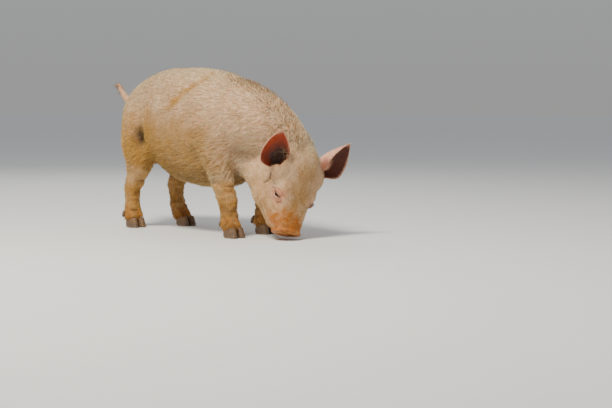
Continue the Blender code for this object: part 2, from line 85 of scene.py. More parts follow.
# Nodes whose region has another name than their first word.
WORDS = {"lower": "head", "forearm": "limb", "shank": "limb", "forefoot": "foot", "hindfoot": "foot"}
PER_SQUARE_CM = 1e4

# The head's own frame: how it is turned, and how far from the back of the skull its eyes lie.
HEAD_PITCH = math.radians(84)
HEAD_ROLL = math.radians(15)
EYE_ALONG = 0.148
EYE_UP = 0.014
EYE_RADIUS = 0.0105
HEAD_LENGTH = 0.250
# The middle of a nostril in the disc of the snout, and its half-axes.
NOSTRIL_SIDE, NOSTRIL_UP = 0.0140, 0.0015
NOSTRIL_WIDE, NOSTRIL_HIGH = 0.0062, 0.0086


def region_of(node):
    """The region of the body that a node of flesh belongs to."""
    word = node.split("_")[0]
    return node if word == "ear" else WORDS.get(word, word)


# --- Places ---


def middle(node):
    low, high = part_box(node)
    return (low + high) / 2


def head_frame():
    """The turn of the head and the place of its origin, from where the eyes are."""
    turn = Matrix.Rotation(HEAD_ROLL, 3, "Y") @ Matrix.Rotation(HEAD_PITCH, 3, "X")
    between_eyes = (middle("eye_left") + middle("eye_right")) / 2
    return turn, between_eyes - turn @ Vector((0, -EYE_ALONG, EYE_UP))


HEAD_TURN, HEAD_ORIGIN = head_frame()
# The body's plane of symmetry: the head is carried a little to the left of it.
BODY_MIDDLE = (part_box("shoulder_left")[1].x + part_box("shoulder_right")[0].x) / 2


def in_head(points):
    """Points as (to the left, along to the snout, up to the forehead) in the head's own frame."""
    turned = (points - np.array(HEAD_ORIGIN)) @ np.array(HEAD_TURN)
    return turned * np.array([1, -1, 1])


def from_head(side, along, up):
    return HEAD_ORIGIN + HEAD_TURN @ Vector((side, -along, up))


def head_direction(side, along, up):
    return np.array(HEAD_TURN @ Vector((side, -along, up)).normalized())


# --- Numbers over a surface ---


def ramp(low, high, x):
    """0 below low, 1 above high and smooth between. low may be the larger."""
    t = np.clip((x - low) / (high - low), 0, 1)
    return t * t * (3 - 2 * t)


def bell(x, centre, width):
    return np.exp(-(((x - centre) / width) ** 2))


def lumps(points, size, seed=0):
    """Smooth noise from -1 to 1 whose lumps are about size across. size may be three sizes."""
    q = points / np.array(size) + seed * 17.31
    cell = np.floor(q).astype(np.int64)
    f = q - cell
    f = f * f * (3 - 2 * f)
    total = np.zeros(len(points))
    for corner in product((0, 1), repeat=3):
        x, y, z = (cell + corner).T
        h = (x * 73856093 ^ y * 19349663 ^ z * 83492791) & 0xFFFFFF
        h = (h * 1103515245 + 12345 + (h >> 7) * 69069) & 0x7FFFFFFF
        h = (h ^ (h >> 13)) & 0xFFFF
        share = np.prod(np.where(corner, f, 1 - f), axis=1)
        total += share * (h / 32767.5 - 1)
    return total


def line_distance(points, path):
    """How far each point is from a broken line, and how far along the line its foot lies, from 0 to 1."""
    path = np.array(path, float)
    spans = np.linalg.norm(np.diff(path, axis=0), axis=1)
    done, total = 0.0, spans.sum()
    best = np.full(len(points), 1e9)
    place = np.zeros(len(points))
    for a, b, span in zip(path, path[1:], spans):
        t = np.clip((points - a) @ (b - a) / span**2, 0, 1)
        d = np.linalg.norm(points - (a + t[:, None] * (b - a)), axis=1)
        nearer = d < best
        best[nearer] = d[nearer]
        place[nearer] = (done + t[nearer] * span) / total
        done += span
    return best, place


def groove(points, path, width, depth, fade=0.15):
    """A furrow along a path, shallower towards its ends."""
    distance, place = line_distance(points, path)
    ends = ramp(0, fade, place) * ramp(1, 1 - fade, place)
    return -depth * np.exp(-((distance / width) ** 2)) * ends


# --- Meshes ---


def column(items, field, width=1, kind=np.float32):
    """One property of all items, as numbers or as rows of width numbers."""
    found = np.empty(len(items) * width, kind)
    items.foreach_get(field, found)
    return found.reshape(-1, width) if width > 1 else found


def coords(mesh):
    return column(mesh.vertices, "co", 3).astype(float)


def set_coords(mesh, points):
    mesh.vertices.foreach_set("co", points.astype(np.float32).ravel())
    mesh.update()


def normals(mesh):
    return column(mesh.vertex_normals, "vector", 3).astype(float)


def edge_ends(mesh):
    return column(mesh.edges, "vertices", 2, np.int32)


def triangles(mesh):
    mesh.calc_loop_triangles()
    return column(mesh.loop_triangles, "vertices", 3, np.int32)


def spread(values, edges, rounds, share=0.5):
    """Values on vertices, each drawn towards the mean of its neighbours, again and again."""
    values = np.array(values, float)
    flat = values.ndim == 1
    values = values[:, None] if flat else values
    count = len(values)
    a, b = edges.T
    ends, others = np.concatenate([a, b]), np.concatenate([b, a])
    degree = np.maximum(np.bincount(ends, minlength=count), 1)[:, None]
    share = share[:, None] if isinstance(share, np.ndarray) else share
    for _ in range(rounds):
        near = values[others]
        mean = np.stack([np.bincount(ends, near[:, k], count) for k in range(values.shape[1])], 1) / degree
        values = values + share * (mean - values)
    return values[:, 0] if flat else values


def attribute(mesh, name, values):
    values = np.asarray(values, np.float32)
    kind, field = ("FLOAT", "value") if values.ndim == 1 else ("FLOAT_VECTOR", "vector")
    made = mesh.attributes.get(name) or mesh.attributes.new(name, kind, "POINT")
    made.data.foreach_set(field, values.ravel())


def unit(vectors):
    return vectors / np.maximum(np.linalg.norm(vectors, axis=-1, keepdims=True), 1e-9)


def along_skin(vectors, facing):
    """Vectors laid flat on the skin."""
    return unit(vectors - facing * (vectors * facing).sum(1, keepdims=True))


def distances(points, spot):
    return np.linalg.norm(points - spot, axis=1)


def raised(values, *others):
    """The highest of the values at each vertex."""
    for other in others:
        values = np.maximum(values, other)
    return values


def nearest(tree, points):
    """The nearest places on a surface, with their normals and faces."""
    place, out, face = zip(*(tree.find_nearest(Vector(p))[:3] for p in points))
    return np.array(place), np.array(out), np.array(face)


def kd_tree(points, chosen):
    """A tree of the chosen ones among the points, found by their index."""
    tree = KDTree(len(chosen))
    for k in chosen:
        tree.insert(points[k], int(k))
    tree.balance()
    return tree


# --- Objects ---


def alone(obj):
    """Selects this object and nothing else."""
    if bpy.context.mode != "OBJECT":
        bpy.ops.object.mode_set(mode="OBJECT")
    bpy.ops.object.select_all(action="DESELECT")
    obj.select_set(True)
    bpy.context.view_layer.objects.active = obj
    return obj


def modified(obj, kind, **values):
    """Adds a modifier and applies it."""
    alone(obj)
    made = obj.modifiers.new(kind.title(), kind)
    for key, value in values.items():
        setattr(made, key, value)
    bpy.ops.object.modifier_apply(modifier=made.name)
    return obj


def joined(objects, name):
    alone(objects[0])
    for obj in objects:
        obj.select_set(True)
    bpy.ops.object.join()
    whole = bpy.context.view_layer.objects.active
    whole.name = whole.data.name = name
    return whole


@contextmanager
def editing(obj, action="SELECT"):
    """Edit mode on this object, with all or none of it selected."""
    alone(obj)
    bpy.ops.object.mode_set(mode="EDIT")
    bpy.ops.mesh.select_all(action=action)
    yield
    bpy.ops.object.mode_set(mode="OBJECT")


def free_copy(node):
    """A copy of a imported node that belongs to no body."""
    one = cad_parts[node].copy()
    one.data = one.data.copy()
    one.parent = None
    for key in list(one.keys()):
        del one[key]
    bpy.context.scene.collection.objects.link(one)
    return one


def node_copies(names, name):
    """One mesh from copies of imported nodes, with each face marked by the node that it comes from."""
    made = []
    for node in names:
        one = free_copy(node)
        part = one.data.attributes.new("part", "INT", "FACE")
        part.data.foreach_set("value", [NODES.index(node)] * len(one.data.polygons))
        made.append(one)
    whole = joined(made, name)
    with editing(whole):
        bpy.ops.mesh.remove_doubles(threshold=0.00001)
    whole.data.materials.clear()
    return whole


def largest_shell(obj):
    """Keeps the outer shell and drops the small ones that a remesh leaves between nodes."""
    name = obj.name
    alone(obj)
    bpy.ops.mesh.separate(type="LOOSE")
    shells = sorted(bpy.context.selected_objects, key=lambda o: len(o.data.vertices))
    for small in shells[:-1]:
        bpy.data.objects.remove(small)
    shells[-1].name = shells[-1].data.name = name
    return alone(shells[-1])


def refined(obj, inside):
    """Divides the faces whose middle is inside, given a test on points."""
    mesh = obj.data
    with editing(obj, "DESELECT"):
        pass  # so that only the faces inside are selected
    mesh.polygons.foreach_set("select", inside(column(mesh.polygons, "center", 3).astype(float)))
    bpy.ops.object.mode_set(mode="EDIT")
    bpy.ops.mesh.select_mode(type="FACE")
    bpy.ops.mesh.subdivide(number_cuts=1, quadcorner="INNERVERT")
    bpy.ops.object.mode_set(mode="OBJECT")


def finished(obj, material, nodes=()):
    """Gives a piece its material and body, and hides the nodes that it stands for."""
    obj.data.materials.clear()
    obj.data.materials.append(material)
    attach(obj, "root")
    if nodes:
        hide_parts(*nodes)
    return obj


# --- Settings ---


def length(name, description, default):
    return FloatProperty(name=name, description=description, default=default, unit="LENGTH", precision=4)


def colour(name, description, default):
    return FloatVectorProperty(
        name=name, description=description, default=default, subtype="COLOR", size=3, min=0, max=1
    )


class PigSkinSettings(PropertyGroup):
    """Sizes and colours of the skin."""

    coat_depth: length("Coat depth", "How far the skin lies inside the outline of the trunk", 0.0024)
    body_voxel: length("Body voxel", "Fineness of the first mesh of the body", 0.0030)
    skin_voxel: length("Skin voxel", "Fineness of the mesh of skin and ears", 0.0018)
    body_triangles: IntProperty(name="Body triangles", description="Kept on trunk and legs", default=130000)
    triangles: IntProperty(name="Triangles", description="Most triangles in the skin", default=192000)
    pale: colour("Pale", "Skin of the back", (0.84, 0.62, 0.43))
    blush: colour("Blush", "Pink flush of thin skin", (0.86, 0.36, 0.24))
    ochre: colour("Ochre", "Dry golden-brown dirt on the skin", (0.40, 0.185, 0.032))
    golden: colour("Golden", "Bristles stained by that dirt", (0.91, 0.58, 0.13))
    earth: colour("Earth", "Damp orange-brown earth on the muzzle and feet", (0.46, 0.135, 0.008))
    ear_red: colour("Ear red", "Thin skin inside the ears", (0.37, 0.036, 0.001))
    # Painted shade: the dark laid into folds, creases, ear canals, nostrils, under the belly and over the left
    # orbit; also the colour of specks of soil.
    shade_and_soil: colour("Gloom", "Dark skin in folds and round the eyes", (0.030, 0.014, 0.010))


class PigCoatSettings(PropertyGroup):
    """Sizes and colours of the coat."""

    density: FloatProperty(name="Density", description="Bristles on each square centimetre", default=15.0)
    length: length("Length", "Length of a bristle on the back", 0.0122)
    width: length("Width", "Half the width of a bristle at its root", 0.00036)
    clump: length("Clump", "How far apart locks of bristles lie", 0.0052)
    cream: colour("Cream", "Clean bristles", (0.95, 0.88, 0.68))
    dusky: colour("Dusky", "Dark bristles of the crest, lashes and chin", (0.26, 0.155, 0.070))
    tan: colour("Tan", "Bristles inside the ears", (0.60, 0.46, 0.25))
    crest: length("Crest", "Length of the bristles along the neck", 0.019)


class PigEyeSettings(PropertyGroup):
    """Sizes and colours of the eyes and lids."""

    opening: length("Opening", "Half the length of the slit between the lids", 0.0086)
    height: length("Height", "Half the height of the slit", 0.0019)
    iris: colour("Iris", "Brown of the iris", (0.018, 0.008, 0.004))


class PigHoofSettings(PropertyGroup):
    """Colours of the hoofs."""

    horn: colour("Horn", "Dark horn of the claws", (0.075, 0.048, 0.032))
    worn: colour("Worn", "Paler worn edge of the claws", (0.26, 0.18, 0.11))


class PigStageSettings(PropertyGroup):
    """Floor, light and camera."""

    floor: colour("Floor", "Plain pale floor", (0.80, 0.80, 0.79))
    horizon: colour("Horizon", "The backdrop low down", (0.765, 0.765, 0.76))
    sky: colour("Sky", "The backdrop high up", (0.92, 0.95, 1.0))
    lens: FloatProperty(name="Lens", description="Focal length", default=78.0, unit="CAMERA")
    distance: length("Distance", "How far the camera stands from the pig", 4.0)
    height: length("Height", "How high the camera stands", 0.3714)


# --- Sculpting the skin ---


# One half of an ear's leaf: its greatest width, its width at the root as a share of that, how high it is
# widest, how far it rolls in at the tip and, beyond that, at the root, and how late it narrows to the tip.
Half = namedtuple("Half", "width base peak roll_tip roll_root taper")
Ear = namedtuple("Ear", "length root axis opening inner outer curl sweep")
EARS = {
    -1: Ear(
        0.108, (0.087, 0.067, 0.007), (0.47, 0.82, 0.33), (0.07, 0.49, 0.88),
        Half(0.047, 0.42, 0.33, 22, 90, 1.9), Half(0.063, 0.34, 0.35, 20, 41, 1.9), 0.13, -0.16,
    ),
    1: Ear(
        0.123, (0.088, 0.040, -0.003), (0.15, 0.73, 0.52), (-0.20, 0.44, 0.83),
        Half(0.070, 0.90, 0.29, 120, 60, 1.34), Half(0.071, 0.55, 0.21, 32, 45, 1.75), 0.015, 0.32,
    ),
}
EAR_THICKNESS = 0.0040
EAR_SUNK = 0.16  # the share of its length that the leaf reaches down into the head
# The cups of the ears are hollow as far as one sees into them from this way.
INTO_CUPS = np.array([0.680, 0.732, -0.042])


def ear_axes(side):
    """The root of the ear and its three directions: to the tip, to the outer edge, and into the open side."""
    ear = EARS[side]
    lateral, along, up = ear.axis
    axis = Vector((side * lateral, along, up)).normalized()
    opening = Vector((side * ear.opening[0], -ear.opening[1], ear.opening[2]))
    opening = (opening - axis * opening.dot(axis)).normalized()
    outward = axis.cross(opening)
    if outward.x * side < 0:
        outward.negate()
    lateral, along, up = ear.root
    root = from_head(side * lateral, along, up)
    return (np.array(v) for v in (root, *(HEAD_TURN @ v for v in (axis, outward, opening))))


def ear_points(side, c, t, lift=0.0):
    """Points of the leaf, moved into its open side by lift. c runs from -1 at its inner edge to 1 at its
    outer, and t from 0 at its root to 1 at its tip."""
    ear = EARS[side]
    root, axis, outward, opening = ear_axes(side)
    above = np.clip(t, 0, 1)
    wide, roll = np.zeros(len(c)), np.zeros(len(c))
    for half, mine in ((ear.inner, c <= 0), (ear.outer, c > 0)):
        rising = half.base + (1 - half.base) * np.sin(math.pi / 2 * np.clip(t / half.peak, 0, 1))
        falling = 1 - np.clip((t - half.peak) / (1 - half.peak), 0, 1) ** half.taper
        shape = half.width * np.where(t < half.peak, rising, falling)
        wide = np.where(mine, np.maximum(shape, 0.0025), wide)
        roll = np.where(mine, np.radians(half.roll_tip + half.roll_root * (1 - above) ** 1.6), roll)
    across = np.sin(c * roll) / roll * wide + ear.sweep * ear.length * above**2
    cup = (1 - np.cos(c * roll)) / roll * wide + ear.curl * ear.length * above**2.5
    return root + np.outer(ear.length * t, axis) + np.outer(across, outward) + np.outer(cup + lift, opening)


def ear_leaf(side):
    """The ear: a grid shaped into a cupped leaf, thin at its rim, whose root reaches into the head."""
    bpy.ops.object.select_all(action="DESELECT")
    bpy.ops.mesh.primitive_grid_add(x_subdivisions=40, y_subdivisions=56, size=2)
    leaf = bpy.context.object
    leaf.name = f"leaf_{SIDES[side]}"
    c, height = coords(leaf.data)[:, :2].T
    t = -EAR_SUNK + (1 + EAR_SUNK) * (height + 1) / 2
    folds = 0.0016 * np.cos(c * 7.5 + 0.8) * ramp(0.9, 0.3, t) * ramp(1.0, 0.6, np.abs(c))
    folds += 0.0010 * lumps(np.stack([c, t * 1.6, 0 * c], 1), 0.35, 4)
    set_coords(leaf.data, ear_points(side, c, t, folds))
    thick = leaf.vertex_groups.new(name="thick")
    for index, value in enumerate(ramp(1.0, 0.25, np.maximum(np.abs(c), t))):
        thick.add([index], float(value), "REPLACE")
    rim = {"vertex_group": "thick", "thickness_vertex_group": 0.55}
    return modified(leaf, "SOLIDIFY", thickness=EAR_THICKNESS, offset=0, **rim)


def leaf_grid(side, wide, low, columns, rows):
    """Places across and up the leaf in rows, and its points there."""
    grid = np.meshgrid(np.linspace(-wide, wide, columns), np.linspace(low, 1, rows))
    c, t = (v.ravel() for v in grid)
    return c, t, ear_points(side, c, t)


def ear_places(points, side):
    """For points near an ear: place across it, height up it, how far before its middle, and how far off."""
    root, _, _, opening = ear_axes(side)
    c, t, leaf = leaf_grid(side, 1, -0.1, 61, 81)
    step, reach = 0.002, 0.17
    up = ear_points(side, c, t + step) - ear_points(side, c, t - step)
    over = ear_points(side, c + step, t) - ear_points(side, c - step, t)
    out = unit(np.cross(over, up))
    centre = np.flatnonzero(np.abs(c) < 0.01)
    if (out[centre] @ opening).mean() < 0:
        out = -out
    tree = kd_tree(leaf, range(len(leaf)))
    found = np.zeros((len(points), 4)) + np.array([0, -1, 0, 1])
    for index in np.flatnonzero(distances(points, root) < reach):
        k, gap = tree.find(points[index])[1:]
        found[index] = c[k], t[k], (points[index] - leaf[k]) @ out[k], gap
    return found.T


def cup_places(points, side):
    """For points by an ear, looking into its cup: how far outside the rim, how far in front of the leaf, and
    where across and up the leaf one looks."""
    low, high = 0.015, 1.0
    t, c = np.linspace(low, high, 60), np.linspace(-1, 1, 31)
    rows = [(-1 + 0 * t, t), (c, high + 0 * c), (1 + 0 * t, t[::-1]), (c[::-1], low + 0 * c)]
    rim = np.concatenate([ear_points(side, across, up) for across, up in rows])
    over = unit(np.cross(INTO_CUPS, [0, 0, 1]))
    flat = np.stack([over, np.cross(over, INTO_CUPS)], 1)
    flat_rim = rim @ flat
    near = np.flatnonzero(distances(points, next(ear_axes(side))) < 0.13)
    x, y = (points @ flat)[near].T
    inside, gap = np.zeros(len(near), bool), np.full(len(near), 1.0)
    for (x1, y1), (x2, y2) in zip(flat_rim, np.roll(flat_rim, -1, axis=0)):
        if y1 != y2:
            inside ^= ((y1 > y) != (y2 > y)) & (x < (x2 - x1) * (y - y1) / (y2 - y1) + x1)
        gap = np.minimum(gap, np.hypot(x - x1, y - y1))
    outside, before = np.full(len(points), 1.0), np.full(len(points), -1.0)
    outside[near] = np.where(inside, -gap, gap)
    columns, lines, start = 45, 60, 0.02
    c, t, leaf = leaf_grid(side, 1.1, -0.14, columns, lines)
    k = (np.arange(lines - 1)[:, None] * columns + np.arange(columns - 1)).ravel()
    quads = np.stack([k, k + 1, k + columns + 1, k + columns], 1)
    tree = BVHTree.FromPolygons(leaf.tolist(), quads.tolist())
    across, height = np.zeros(len(points)), np.zeros(len(points))
    for index in near[gap < 0.09]:
        face, distance = tree.ray_cast(Vector(points[index] - start * INTO_CUPS), Vector(INTO_CUPS), 0.10)[2:]
        if distance is not None:
            before[index] = distance - start
            across[index], height[index] = c[k[face]], t[k[face]]
    return outside, before, across, height


def behind_ears(points):
    """Draws the flesh of the head that stands inside the cup of the right ear back behind its leaf."""
    outside, before = cup_places(points, -1)[:2]
    inside = (outside < -0.0005) & (before > -0.003)
    return points + np.outer((before + 0.0035) * inside, INTO_CUPS)


def eye_axes(side):
    """The eye's middle, its gaze, and the directions to the inner corner and to the upper lid."""
    gaze = head_direction(side * 0.88, 0.16, 0.42)
    corner = head_direction(-side * 0.30, 0.66, 0.58)
    corner = unit(corner - gaze * (corner @ gaze))
    upper = np.cross(gaze, corner)
    if upper @ head_direction(0, -0.4, 1) < 0:
        upper = -upper
    return np.array(middle(f"eye_{SIDES[side]}")), gaze, corner, upper


def slit_distance(x, y, eyes):
    """How far a point in the plane of the lids lies outside the slit between them."""
    half, high = eyes.opening, np.where(y > 0, eyes.height * 1.1, eyes.height * 0.9)
    edge = high * np.clip(1 - (x / half) ** 2, 0, 1) ** 0.75
    beyond = np.hypot(np.maximum(np.abs(x) - half, 0), y)
    return np.where(np.abs(x) < half, np.abs(y) - edge, beyond)


def eye_places(points, side, eyes):
    """For points by an eye: along the slit, up, out along the gaze, how far from the ball's middle and from the
    slit."""
    centre, gaze, corner, upper = eye_axes(side)
    q = points - centre
    x, y = q @ corner, q @ upper
    return x, y, q @ gaze, np.linalg.norm(q, axis=1), slit_distance(x, y, eyes)


def lids(points, side, eyes):
    """Wraps the skin round the eyeball and opens the slit."""
    centre, gaze, _, _ = eye_axes(side)
    _, y, z, radius, away = eye_places(points, side, eyes)
    near = (z > -0.004) & (away < 0.022)
    lid = EYE_RADIUS + 0.0011 + 0.0009 * ramp(0.0, 0.0022, away) - 0.0009 * ramp(0.0022, 0.0060, away)
    hidden = EYE_RADIUS - 0.0035
    target = np.where(away < 0, hidden + (lid - hidden) * ramp(-0.0009, 0.0, away), lid)
    hold = ramp(0.0115, 0.0030, away)
    moved = centre + unit(points - centre) * (radius + (target - radius) * hold)[:, None]
    # the folds of the lids and the wrinkles round them
    wobble = -0.0011 * lumps(points, 0.009, 3)
    upper_lid = ramp(-0.001, 0.001, y)
    creases = -0.0013 * bell(away + wobble, np.where(y > 0, 0.0040, 0.0034), 0.0008)
    creases += -0.0012 * bell(away + wobble, 0.0070, 0.0009) * (0.6 + 0.4 * lumps(points, 0.009, 5))
    creases += -0.0014 * bell(away + wobble * 2, 0.0102, 0.0011) * (0.5 + 0.5 * lumps(points, 0.011, 6))
    creases += -0.0013 * bell(away + wobble * 2, 0.0142, 0.0013) * (0.35 + 0.65 * upper_lid)
    creases += 0.0010 * bell(away, 0.0055, 0.0030)
    moved = moved + gaze * (creases * ramp(0.0, 0.002, away))[:, None]
    out = points.copy()
    out[near] = moved[near]
    return out


# Furrows of each side of the face: a path of (forward, up) in the head's frame, width, depth and the strength
# of the shade painted into it.
MOUTH = ((0.240, -0.038), (0.216, -0.046), (0.190, -0.054), (0.164, -0.060), (0.142, -0.060), (0.126, -0.053))
CHEEK_CREASE = ((0.084, 0.012), (0.095, 0.008), (0.104, 0.001), (0.111, -0.014), (0.115, -0.034))
FACE_FURROWS = (
    (CHEEK_CREASE, 0.0028, 0.0026, 0.78),
    (((0.112, 0.026), (0.117, 0.018), (0.120, 0.008)), 0.0014, 0.0013, 0.22),
    (((0.107, 0.022), (0.111, 0.013), (0.116, 0.005)), 0.0016, 0.0011, 0.16),
    (((0.166, 0.019), (0.169, 0.010), (0.168, 0.002)), 0.0014, 0.0013, 0.22),
    (MOUTH, 0.0022, 0.0030, 0.42),
)
# Mounds and hollows beside the furrows: path, width and depth, where a depth below 0 stands out.
FACE_MOUNDS = (
    ([(m[0], m[1] + 0.008) for m in MOUTH], 0.0052, -0.0016),
    ([(m[0], m[1] - 0.009) for m in MOUTH], 0.0060, -0.0014),
    ([(0.098, 0.013), (0.113, -0.006), (0.124, -0.032)], 0.0080, -0.0009),
    ([(0.088, -0.002), (0.099, -0.014), (0.104, -0.036)], 0.0090, -0.0010),
)
# Folds over the bridge of the snout: how far along the head, and how deep.
BRIDGE_FOLDS = ((0.1790, 0.0008), (0.1930, 0.0011), (0.2065, 0.0013), (0.2180, 0.0013))
# Orbit, hollow below it and muscle of the cheek: height, then middle and reach along and up the head.
CHEEK_FORMS = (
    (0.0022, 0.130, 0.014, 0.032, 0.010),
    (-0.0018, 0.168, 0.012, 0.004, 0.016),
    (0.0020, 0.075, 0.030, -0.060, 0.028),
)


def face_relief(points, facing):
    """How far the skin of the head moves out, from the folds and mounds that a head of this kind has."""
    s, a, u = in_head(points).T
    left = np.abs(s)
    side_facing = ramp(0.25, 0.6, np.abs(facing @ np.array(HEAD_TURN)[:, 0]))
    front_facing = ramp(0.15, 0.6, facing @ np.array(HEAD_TURN)[:, 2])
    plan = np.stack([a, u], 1)
    top = np.stack([left, a], 1)
    lift = np.zeros(len(points))
    for path, width, depth in (*(furrow[:3] for furrow in FACE_FURROWS), *FACE_MOUNDS):
        lift += side_facing * groove(plan, path, width, depth)
    for along, depth in BRIDGE_FOLDS:
        fold = [(0.0, along + 0.003), (0.018, along), (0.036, along - 0.008)]
        lift += front_facing * groove(top, fold, 0.0022, depth, 0.02)
    rim = np.hypot(s / 0.043, (u - 0.001) / 0.0375)
    lift += -0.0010 * bell(a, 0.2345, 0.0030) * ramp(-0.045, -0.02, u)
    lift += (0.0008 * bell(a, 0.2430, 0.0040) - 0.0030 * ramp(0.2445, 0.2500, a)) * ramp(0.7, 0.95, rim)
    for height, along, long, above, high in CHEEK_FORMS:
        lift += height * bell(a, along, long) * bell(u, above, high) * side_facing
    # the dished forehead
    lift += -0.0016 * bell(a, 0.155, 0.020) * bell(left, 0.0, 0.020) * front_facing
    lift += 0.0007 * lumps(points, 0.013, 8) + 0.0004 * lumps(points, 0.006, 9)
    # fine wrinkles between the crease of the cheek and the eye, and below the eye
    ridged = (1 - np.abs(lumps(points, (0.014, 0.014, 0.0045), 10))) ** 3
    lift += -0.0011 * ridged * side_facing * bell(np.hypot(a - 0.138, u - 0.006), 0.030, 0.016)
    return lift * ramp(-0.03, 0.01, a)


def nostril_distance(s, u, slant=0.0):
    """How far a point of the disc lies from the middle of its nostril: 1 at its edge."""
    off = np.abs(s) - NOSTRIL_SIDE
    return np.hypot(off / NOSTRIL_WIDE, (u - NOSTRIL_UP + slant * off) / NOSTRIL_HIGH)


def nostrils(points):
    """Sinks the two nostrils into the disc of the snout, with a raised edge."""
    s, a, u = in_head(points).T
    shape = nostril_distance(s, u, 0.12)
    front = ramp(HEAD_LENGTH - 0.010, HEAD_LENGTH - 0.004, a)
    sink = 0.0120 * ramp(1.0, 0.45, shape) - 0.0010 * bell(shape, 1.18, 0.16)
    disc = np.hypot(s / 0.043, u / 0.037)
    sink += 0.0014 * ramp(0.85, 0.2, disc) - 0.0009 * bell(disc, 0.86, 0.08)
    sink += 0.0012 * bell(s, 0, 0.0022) * ramp(0.004, -0.012, u)
    return points - np.outer(sink * front, head_direction(0, 1, 0))


def body_places(points):
    """(away from the middle, forward, up) of points on the body."""
    return np.abs(points[:, 0] - BODY_MIDDLE), -points[:, 1], points[:, 2]


def leg_rows(points):
    """The wrinkles that run round the legs, from -1 in a furrow to 1 on a ridge."""
    return lumps(points * [0.25, 0.25, 1], 0.0078, 13)


# As (forward, up): where the elbow parts from the flank, the pocket between flank and thigh, and the fold of
# skin before it.
ELBOW = ((0.085, 0.330), (0.100, 0.285), (0.108, 0.240), (0.116, 0.200))
POCKET = ((-0.182, 0.324), (-0.164, 0.301), (-0.150, 0.276), (-0.141, 0.246))
FLAP = ((-0.130, 0.400), (-0.123, 0.350), (-0.122, 0.315), (-0.127, 0.280), (-0.133, 0.240), (-0.138, 0.208))


def body_relief(points, facing, part):
    """How far the skin of the body and legs moves out: flank fold, elbow, wrinkles."""
    _, forward, up = body_places(points)
    side = ramp(0.3, 0.7, np.abs(facing[:, 0]))
    plan = np.stack([forward, up], 1)
    lift = np.zeros(len(points))
    trunk = part["trunk"] + part["ham"]
    right = np.where(points[:, 0] < BODY_MIDDLE, 1.0, 0.15)
    lift += trunk * side * right * groove(plan, FLAP, 0.0100, -0.0060, 0.25)
    lift += trunk * side * right * groove(plan, POCKET, 0.0170, 0.0100, 0.35)
    lift += side * right * groove(plan, ELBOW, 0.0130, 0.0045, 0.3)
    behind_shoulder = [(0.075, 0.40), (0.070, 0.35), (0.082, 0.30)]
    lift += side * groove(plan, behind_shoulder, 0.020, 0.0025, 0.3)
    low = ramp(0.34, 0.24, up) * part["trunk"]
    lift += 0.0012 * low * lumps(points, (0.03, 0.045, 0.011), 11)
    lift += 0.0014 * part["neck"] * lumps(points, (0.03, 0.014, 0.03), 12)
    limbs = part["limb"] + part["foot"]
    lift += limbs * 0.0027 * leg_rows(points)
    lift += limbs * 0.0010 * lumps(points, 0.02, 14)
    lift += part["foot"] * (0.0022 * bell(up, 0.034, 0.006) + 0.0035 * ramp(-0.3, -0.8, facing[:, 2]))
    lift += 0.0014 * part["tail"]
    # the cleft between the hams, below the tail
    cleft = bell(points[:, 0], BODY_MIDDLE, 0.011) * ramp(0.30, 0.75, facing[:, 1]) * ramp(0.44, 0.38, up)
    lift += -0.0100 * (trunk > 0) * cleft * np.clip(trunk, 0, 1)
    lift += 0.0010 * lumps(points, 0.05, 15) * ramp(0.1, 0.2, up)
    return lift


# --- What each place of the skin is ---


def grouped(part):
    """Head with snout, legs with feet, and both ears, each as one region."""
    return part["head"] + part["snout"], part["limb"] + part["foot"], part["ear_left"] + part["ear_right"]


def part_masks(points, pattern, edges, rounds):
    """For each region of the body, how much each vertex belongs to it, with soft borders."""
    part = column(pattern.data.attributes["part"].data, "value", kind=np.int32)
    tree = BVHTree.FromObject(pattern, bpy.context.evaluated_depsgraph_get())
    face = nearest(tree, points)[2]
    region = np.array([REGIONS.index(region_of(node)) if node in FLESH else 0 for node in NODES])
    one_hot = np.zeros((len(points), len(REGIONS)))
    one_hot[np.arange(len(points)), region[part[face]]] = 1
    soft = spread(one_hot, edges, rounds)
    return {name: soft[:, k] for k, name in enumerate(REGIONS)}


def kept_masks(mesh, part):
    """Writes the regions on the mesh, so that they follow it through cuts and thinning."""
    for name, values in part.items():
        attribute(mesh, f"is_{name}", values)


def read_masks(mesh):
    """Reads the regions back, and takes them off the mesh."""
    found = {}
    for name in REGIONS:
        layer = mesh.attributes[f"is_{name}"]
        found[name] = column(layer.data, "value").astype(float)
        mesh.attributes.remove(layer)
    return found


# The band of dry dirt down the right flank, and single spots near it.
SMEAR = (
    (-0.079, -0.105, 0.474), (-0.113, -0.105, 0.456), (-0.133, -0.088, 0.441), (-0.157, -0.044, 0.409),
    (-0.168, -0.014, 0.383), (-0.172, 0.018, 0.353),
)
SMEAR_SPOTS = ((-0.121, -0.163, 0.423), (-0.106, 0.164, 0.464), (-0.150, 0.105, 0.405))
# Rings of painted shade in the creases of the lids: how far from the slit, and how dark.
EYE_RINGS = ((0.0038, 0.50), (0.0070, 0.42), (0.0104, 0.36), (0.0143, 0.30))


def canal_distance(c, t, across, high):
    """How far a place in the ear lies from the mouth of its canal, in shares of across and high."""
    return np.hypot((c + across) / 0.66, (t - 0.20) / high)


def smear_marks(points, fine):
    """The dirt of the band down the flank: wider and thinner towards its lower end."""
    distance, place = line_distance(points, SMEAR)
    smear = np.exp(-((distance / (0.007 + 0.016 * place)) ** 2)) * (0.30 + 0.70 * fine)
    smear = smear * (1 - 0.6 * ramp(0.7, 1, place))
    for spot in SMEAR_SPOTS:
        smear = np.maximum(smear, 0.6 * np.exp(-((distances(points, spot) / 0.009) ** 2)))
    return np.clip(1.40 * smear, 0, 1)


